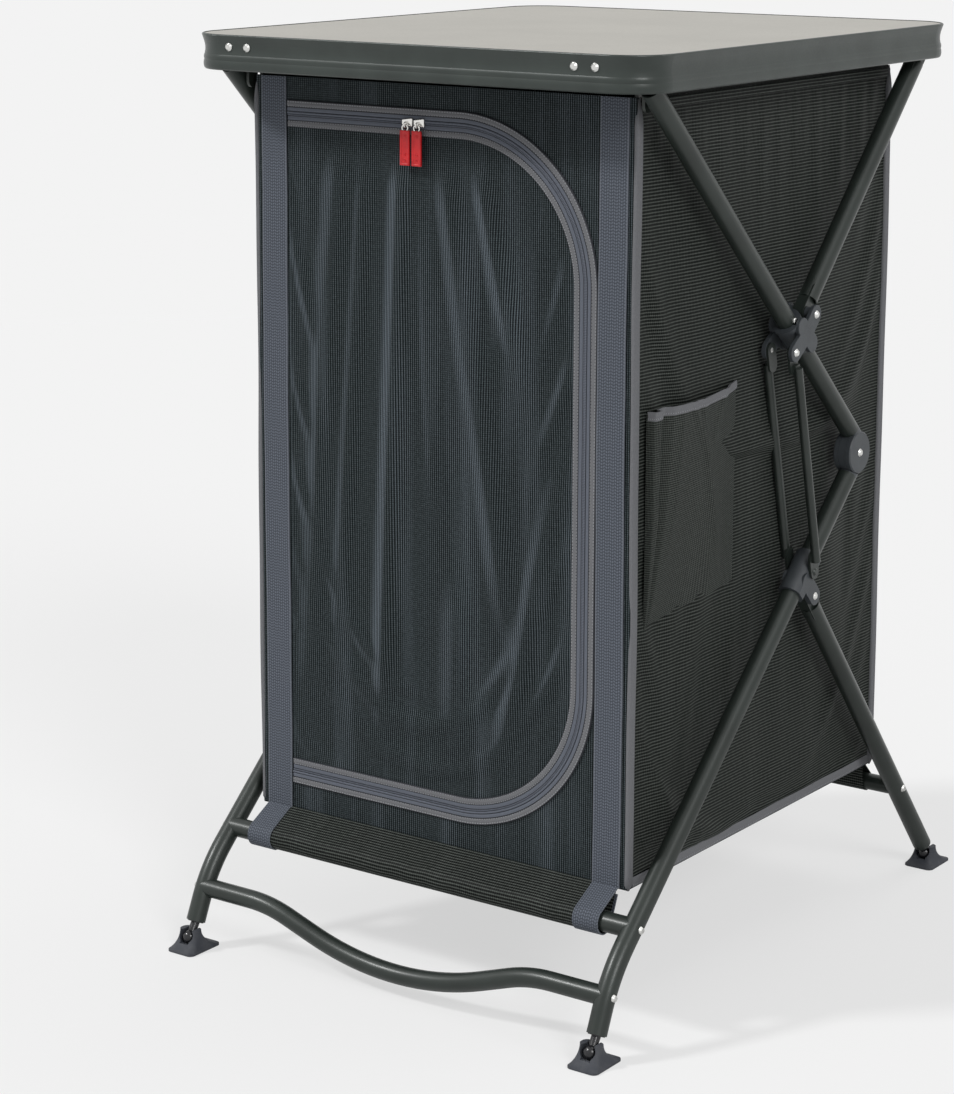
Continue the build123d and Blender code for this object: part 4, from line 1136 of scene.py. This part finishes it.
# Point of the pocket's cloth: u round its mouth from front to back, v up from its sewn foot
def pocketPoint(u, v, extra=0.0):
    alongShare, outShare = alongMouth(u)
    opened = min(1.0, v / pocket["openAt"]) ** 0.7
    pleat = min(1, max(0, (pocket["gatherTo"] - u) / pocket["gatherFade"]))
    gathered = 1 - pocket["gather"] * pleat * (1 - v) ** 1.4
    y = pocket["front"] + (pocket["back"] - pocket["front"]) * alongShare * gathered
    foot = pocket["bottom"] + pocket["slant"] * alongShare
    z = foot + (pocket["top"] - foot) * v
    if u > 0.5:
        z += pocket["rearRise"] * ((u - 0.5) * 2) ** 3 * v
    out = pocket["proud"] * outShare * (0.10 + 0.90 * opened) + extra
    for crease in pocketCreases:
        started = min(1, max(0, v - crease["from"]) * crease["growth"])
        middle = crease["at"] + crease["lean"] * (1 - v)
        out += crease["height"] * bell(u - middle, crease["width"]) * started
    return Vector((pocket["wall"] + pocket["lift"] + out, y, z))


def makePocket():
    height = pocket["top"] - pocket["bottom"]
    width = pocket["back"] - pocket["front"] + pocket["pleats"]
    bag = gridPiece("sidePocket", *pocket["grid"], pocketPoint, (width, height))
    addModifier(bag, "SMOOTH", factor=0.5, iterations=1)
    addModifier(bag, "SUBSURF", levels=1, render_levels=1)
    finishCloth(bag, "table", "side_pocket", pocketMesh)

    def place(u, v):
        point = pocketPoint(u, 1.0 - (1 - v) * pocketTape["height"] / height, pocketTape["lift"])
        fold = pocketTape["fold"] * math.sin(math.pi * v)
        return point + Vector((fold, 0, pocketTape["above"]))

    tape = gridPiece("pocketTape", *pocketTape["grid"], place, (width, pocketTape["height"]))
    addModifier(tape, "SMOOTH", factor=0.5, iterations=2)
    finishTape(tape, "table", cornerTape, pocketTape["wall"])
    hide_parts("pocket_binding")


# Sleeves round the two cross tubes, and the straps' ends over the front one

sleeve = {
    "clear": 1.4 * mm,
    "lift": 0.7 * mm,
    "half": 214 * mm,
    "band": 29 * mm,
    "ripple": 0.35 * mm,
    "closed": 0.999,
    "bandEnd": 0.94,
    "edgeOut": 0.5 * mm,
    "edgeUp": 1 * mm,
    "grid": (90, 60),
    "bandGrid": (70, 10),
}


# The tube that a sleeve goes round, and the body's edge that it is sewn to, in Y and Z
def sleeveSeat(tubeName, edge):
    low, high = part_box(tubeName)
    return {
        "tube": Vector(((low[1] + high[1]) / 2, (low[2] + high[2]) / 2)),
        "radius": (high[2] - low[2]) / 2 + sleeve["clear"],
        "tip": Vector(edge),
    }


# Point (y, z) on a sleeve's outline, from the body's edge round the tube and back, and its length
def sleevePath(seat, share, extra=0.0):
    radius = seat["radius"] + extra
    away = seat["tip"] - seat["tube"]
    heading = math.atan2(away.y, away.x)
    spread = math.acos(radius / away.length)
    tangent = math.sqrt(away.length ** 2 - radius ** 2)
    arc = radius * (2 * math.pi - 2 * spread)
    total = 2 * tangent + arc
    turn = 1 if away.x > 0 else -1

    def onTube(angle):
        return seat["tube"] + radius * Vector((math.cos(angle), math.sin(angle)))

    run = share * total
    first = heading + turn * spread
    if run < tangent:
        return seat["tip"].lerp(onTube(first), run / tangent), total
    run -= tangent
    if run < arc:
        return onTube(first + turn * run / radius), total
    return onTube(heading - turn * spread).lerp(seat["tip"], (run - arc) / tangent), total


def makeSleeve(name, nodeName, bodyName, seat):
    total = sleevePath(seat, 0)[1]

    def place(u, v):
        x = (u - 0.5) * 2 * sleeve["half"]
        point = sleevePath(seat, sleeve["closed"] * v)[0]
        ripple = sleeve["ripple"] * math.sin(x * 120 + 2 * math.sin(x * 31))
        slackness = ripple * (1 - abs(2 * v - 1)) if v < 0.5 else 0
        return Vector((x, point.x, point.y + slackness))

    piece = gridPiece(name, *sleeve["grid"], place, (2 * sleeve["half"], total))
    finishCloth(piece, bodyName, nodeName, sideMesh, angle=70, squashed=False)


def makeSleeveBand(name, seat, middleX):
    total = sleevePath(seat, 0)[1]

    def place(u, v):
        point = sleevePath(seat, sleeve["bandEnd"] * u, sleeve["lift"])[0]
        return Vector((middleX + (v - 0.5) * sleeve["band"], point.x, point.y))

    band = gridPiece(name, *sleeve["bandGrid"], place, (total, sleeve["band"]))
    centreMap(band, sleeve["band"])
    return finishTape(band, "front_legs", strapMaterial, strap["wall"], offset=1.0, squashed=False)


# Zip sliders and pulls

def applyPlace():
    bpy.ops.object.transform_apply(location=True, rotation=True, scale=True)


def addBlock(name, middle, size):
    deselectAll()
    bpy.ops.mesh.primitive_cube_add(size=1, location=middle)
    piece = bpy.context.object
    piece.name = name
    piece.scale = size
    applyPlace()
    return piece


def addRing(middle, turn, ring):
    deselectAll()
    bpy.ops.mesh.primitive_torus_add(
        location=middle, rotation=turn, major_radius=ring["radius"], minor_radius=ring["wire"],
        major_segments=ring["steps"][0], minor_segments=ring["steps"][1],
    )
    piece = bpy.context.object
    applyPlace()
    return piece


def joinTo(piece, others):
    deselectAll()
    for part in (piece, *others):
        part.select_set(True)
    bpy.context.view_layer.objects.active = piece
    bpy.ops.object.join()


slider = {
    "length": 12.5 * mm,
    "height": 9 * mm,
    "depth": 2.8 * mm,
    "round": 1.2 * mm,
    "tail": 0.62,
    "bridge": {"radius": 2.6 * mm, "wire": 0.7 * mm, "steps": (28, 10), "out": 1.6 * mm, "down": 2.4 * mm},
}


def makeSlider(side):
    node = "zip_slider_" + side
    low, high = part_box(node)
    middleX = (low[0] + high[0]) / 2
    middleZ = high[2] - slider["height"] / 2
    middle = (middleX, high[1] - slider["depth"] / 2, middleZ)
    size = (slider["length"], slider["depth"], slider["height"])
    piece = addBlock("zipSlider" + side.capitalize(), middle, size)
    for vertex in piece.data.vertices:
        if vertex.co.x < middleX:
            vertex.co.z = middleZ + (vertex.co.z - middleZ) * slider["tail"]
    addModifier(piece, "BEVEL", width=slider["round"], segments=3)
    bridge = slider["bridge"]
    bridgeMiddle = (middleX, high[1] - slider["depth"] - bridge["out"], middleZ - bridge["down"])
    joinTo(piece, [addRing(bridgeMiddle, (0, math.pi / 2, 0), bridge)])
    smooth(piece, 40)
    finishPiece(piece, node, materials["zip_metal"])
    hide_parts(node)


pull = {
    "wall": 2.4 * mm,
    "frame": 1.6 * mm,
    "recess": 0.7 * mm,
    "wallInset": 0.3 * mm,
    "edge": 0.35 * mm,
    "neck": 6.6 * mm,
    "studs": (0.16, 0.32, 0.84),
    "stud": {"radius": 1.1 * mm, "wire": 0.35 * mm, "steps": (20, 8), "sunk": 0.1 * mm},
    "loop": {"radius": 3.4 * mm, "wire": 0.7 * mm, "steps": (36, 10), "up": 2.2 * mm},
}


def makePull(side):
    node = "zip_pull_" + side
    low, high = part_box(node)
    middleX = (low[0] + high[0]) / 2
    middleY = (low[1] + high[1]) / 2
    bodyTop = high[2] - pull["neck"]
    bodyHeight = bodyTop - low[2]
    middle = (middleX, middleY, (low[2] + bodyTop) / 2)
    piece = addBlock("zipPull" + side.capitalize(), middle, (high[0] - low[0], pull["wall"], bodyHeight))
    editFaces(piece, lambda polygon: abs(polygon.normal.y) > 0.9)
    bpy.ops.mesh.inset(thickness=pull["frame"])
    bpy.ops.mesh.inset(thickness=pull["wallInset"], depth=-pull["recess"])
    bpy.ops.object.mode_set(mode="OBJECT")
    addModifier(piece, "BEVEL", width=pull["edge"], segments=2, limit_method="ANGLE")
    faceOn = (math.pi / 2, 0, 0)
    stud = pull["stud"]
    faceY = middleY - pull["wall"] / 2 + pull["recess"] - stud["sunk"]
    studs = []
    for share in pull["studs"]:
        studMiddle = (middleX, faceY, low[2] + bodyHeight * share)
        studs.append(addRing(studMiddle, faceOn, stud))
    joinTo(piece, studs)
    smooth(piece, 40)
    finishPiece(piece, node, materials["red_pull"])
    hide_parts(node)
    loop = pull["loop"]
    wire = addRing((middleX, middleY, bodyTop + loop["up"]), faceOn, loop)
    wire.name = "pullLoop" + side.capitalize()
    smooth(wire, 60)
    finishPiece(wire, node, materials["zip_metal"])


# The CAD nodes that stay get their finish

def finishNodes():
    for entry in frame["record"]["subparts"]:
        node = nodes[entry["node"]]
        material = materials.get(entry["material_slot"])
        if material is None or node.hide_render:
            continue
        # The rim gets the lighter copy of the frame paint, which is painted light
        if entry["node"] == "tabletop_rim":
            material = rimLitFinish
        node.data.materials.clear()
        node.data.materials.append(material)


makeDoorLeaf()
makeSurround()
makeTape("zipTapeOuter", "table", "zip_tape_outer", 0.0, 1)
makeTape("zipTapeInner", "door", "zip_tape_inner", door["band"], -1)
print("front made")

frontRight = makeStrap("strapFrontRight", strap["x"], -1)
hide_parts("webbing_straps")
makeStrap("strapFrontLeft", -strap["x"], -1)
makeStrap("strapBackRight", strap["x"], 1)
makeStrap("strapBackLeft", -strap["x"], 1)
frontBinding = makeCornerBinding("bindingFrontRight", body["right"], body["front"], 1)
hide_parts("edge_bindings")
makeCornerBinding("bindingFrontLeft", body["left"], body["front"], 1)
makeCornerBinding("bindingBackRight", body["right"], body["back"], -1)
makeCornerBinding("bindingBackLeft", body["left"], body["back"], -1)
print("straps and bindings made")

wallInset = 0.4 * mm
backwards = Vector((0, 1, 0))
right = Vector((1, 0, 0))
rightFront = Vector((body["right"] - wallInset, body["front"], body["bottom"]))
leftBack = Vector((body["left"] + wallInset, body["back"], body["bottom"]))
rightBack = Vector((body["right"], body["back"] - wallInset, body["bottom"]))
makeWall("sideClothRight", "side_panel_right", rightFront, backwards, right, bodyDepth, sideMesh)
makeWall("sideClothLeft", "side_panel_left", leftBack, -backwards, -right, bodyDepth, sideMesh)
makeWall("backCloth", "back_panel", rightBack, -right, backwards, bodyWidth, frontMesh)
makeFloorCloth()
length = bodyDepth - 2 * hem["inset"]
topZ = body["top"] - hem["drop"]
for side, x, outward in (("Right", body["right"], right), ("Left", body["left"], -right)):
    start = Vector((x, body["front"] + hem["inset"], body["bottom"]))
    makeHem("hemBottom" + side, start, backwards, outward, length, body["bottom"], cornerTape)
    makeHem("hemTop" + side, start, backwards, outward, length, topZ, sideMesh)
start = Vector((body["right"] - hem["inset"], body["back"], body["bottom"]))
length = bodyWidth - 2 * hem["inset"]
makeHem("hemBottomBack", start, -right, backwards, length, body["bottom"], cornerTape)
print("walls made")

makePocket()
edgeZ = body["bottom"] + sleeve["edgeUp"]
frontSeat = sleeveSeat("front_cross_tube", (body["front"] - sleeve["edgeOut"], edgeZ))
backSeat = sleeveSeat("rear_cross_tube", (body["back"] + sleeve["edgeOut"], edgeZ))
makeSleeve("barSleeve", "bar_sleeve", "front_legs", frontSeat)
makeSleeve("rearSleeve", "rear_sleeve", "rear_legs", backSeat)
rightBand = makeSleeveBand("sleeveBandRight", frontSeat, strap["x"])
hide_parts("sleeve_bands")
makeSleeveBand("sleeveBandLeft", frontSeat, -strap["x"])
for side in ("left", "right"):
    makeSlider(side)
    makePull(side)
finishNodes()
print("pocket, sleeve and zip made")


# Stage, light and camera

stage = {"white": 0.896, "radius": 8.0, "solid": 2.2, "faded": 0.75, "sky": 0.3, "lifted": 0.68}


# White floor that fades into the background. The camera sees its shadow softened.
def makeStage():
    deselectAll()
    low = (0, 0, -0.5 * mm)
    bpy.ops.mesh.primitive_circle_add(vertices=96, radius=stage["radius"], fill_type="NGON", location=low)
    floor = bpy.context.object
    floor.name = "stageFloor"
    material, tree, shader = newMaterial("stageFloor", grey(stage["white"]), 1.0)
    shader.inputs["Specular IOR Level"].default_value = 0.0
    isCamera = addNode(tree, "ShaderNodeLightPath").outputs["Is Camera Ray"]
    lifted = times(tree, isCamera, stage["lifted"])
    tree.links.new(mixColour(tree, lifted, grey(stage["white"]), grey(0.0)), shader.inputs["Base Color"])
    shader.inputs["Emission Color"].default_value = (*grey(stage["white"]), 1)
    tree.links.new(lifted, shader.inputs["Emission Strength"])
    place = addNode(tree, "ShaderNodeTexCoord").outputs["Object"]
    distance = addNode(tree, "ShaderNodeVectorMath", operation="LENGTH")
    tree.links.new(place, distance.inputs[0])
    share = mathNode(tree, "DIVIDE", distance.outputs["Value"], stage["radius"])
    edge = stage["solid"] / stage["radius"]
    fade = rampNode(tree, share, [(edge, grey(1.0)), (stage["faded"], grey(0.0))])
    tree.links.new(fade, shader.inputs["Alpha"])
    floor.data.materials.append(material)


# Soft suns: degrees right of the front and up, share of the light on the floor, width in degrees
suns = [
    {"name": "keyLeft", "right": -46, "up": 44, "share": 0.38, "width": 8},
    {"name": "fillRight", "right": 62, "up": 34, "share": 0.20, "width": 20},
    {"name": "topSoft", "right": 160, "up": 70, "share": 0.12, "width": 30},
]


def addSun(name, right, up, share, width):
    light = bpy.data.lights.new(name, "SUN")
    light.energy = share * math.pi / math.sin(math.radians(up))
    light.angle = math.radians(width)
    lamp = bpy.data.objects.new(name, light)
    level = math.cos(math.radians(up))
    side = math.radians(right)
    direction = Vector((math.sin(side) * level, -math.cos(side) * level, math.sin(math.radians(up))))
    lamp.rotation_euler = direction.to_track_quat("Z", "Y").to_euler()
    bpy.context.scene.collection.objects.link(lamp)


# Camera, mirrors and glass see the white background, and cloth and paint get a plain sky
def makeLight():
    world = bpy.data.worlds.new("studio")
    bpy.context.scene.world = world
    world.use_nodes = True
    tree = world.node_tree
    background = tree.nodes["Background"]
    path = addNode(tree, "ShaderNodeLightPath")
    seen = mathNode(tree, "MAXIMUM", path.outputs["Is Camera Ray"], path.outputs["Is Glossy Ray"])
    seen = mathNode(tree, "MAXIMUM", seen, path.outputs["Is Transmission Ray"])
    colour = mixColour(tree, seen, grey(stage["sky"]), grey(stage["white"]))
    tree.links.new(colour, background.inputs["Color"])
    for sun in suns:
        addSun(**sun)


lens = {"focal": 2924.7, "width": 954, "height": 1094, "centreX": 442.4, "centreY": 390.9}
sensorWidth = 36
view = {"azimuth": 36.14, "elevation": 10.75, "roll": 0.04, "place": (1.6554, -2.5105, 1.1338)}


def makeCamera():
    data = bpy.data.cameras.new("camera")
    camera = bpy.data.objects.new("camera", data)
    bpy.context.scene.collection.objects.link(camera)
    bpy.context.scene.camera = camera
    azimuth = math.radians(view["azimuth"])
    elevation = math.radians(view["elevation"])
    level = math.cos(elevation)
    back = Vector((math.sin(azimuth) * level, -math.cos(azimuth) * level, math.sin(elevation)))
    right = Vector((math.cos(azimuth), math.sin(azimuth), 0))
    up = back.cross(right)
    turn = Matrix((right, up, back)).transposed() @ Matrix.Rotation(math.radians(view["roll"]), 3, "Z")
    camera.matrix_world = Matrix.Translation(view["place"]) @ turn.to_4x4()
    data.sensor_width = sensorWidth
    data.lens = lens["focal"] * sensorWidth / lens["height"]
    data.shift_x = (lens["width"] / 2 - lens["centreX"]) / lens["height"]
    data.shift_y = (lens["centreY"] - lens["height"] / 2) / lens["height"]


makeStage()
makeLight()
makeCamera()
bpy.context.scene.view_settings.view_transform = "Standard"
print("stage, light and camera made")
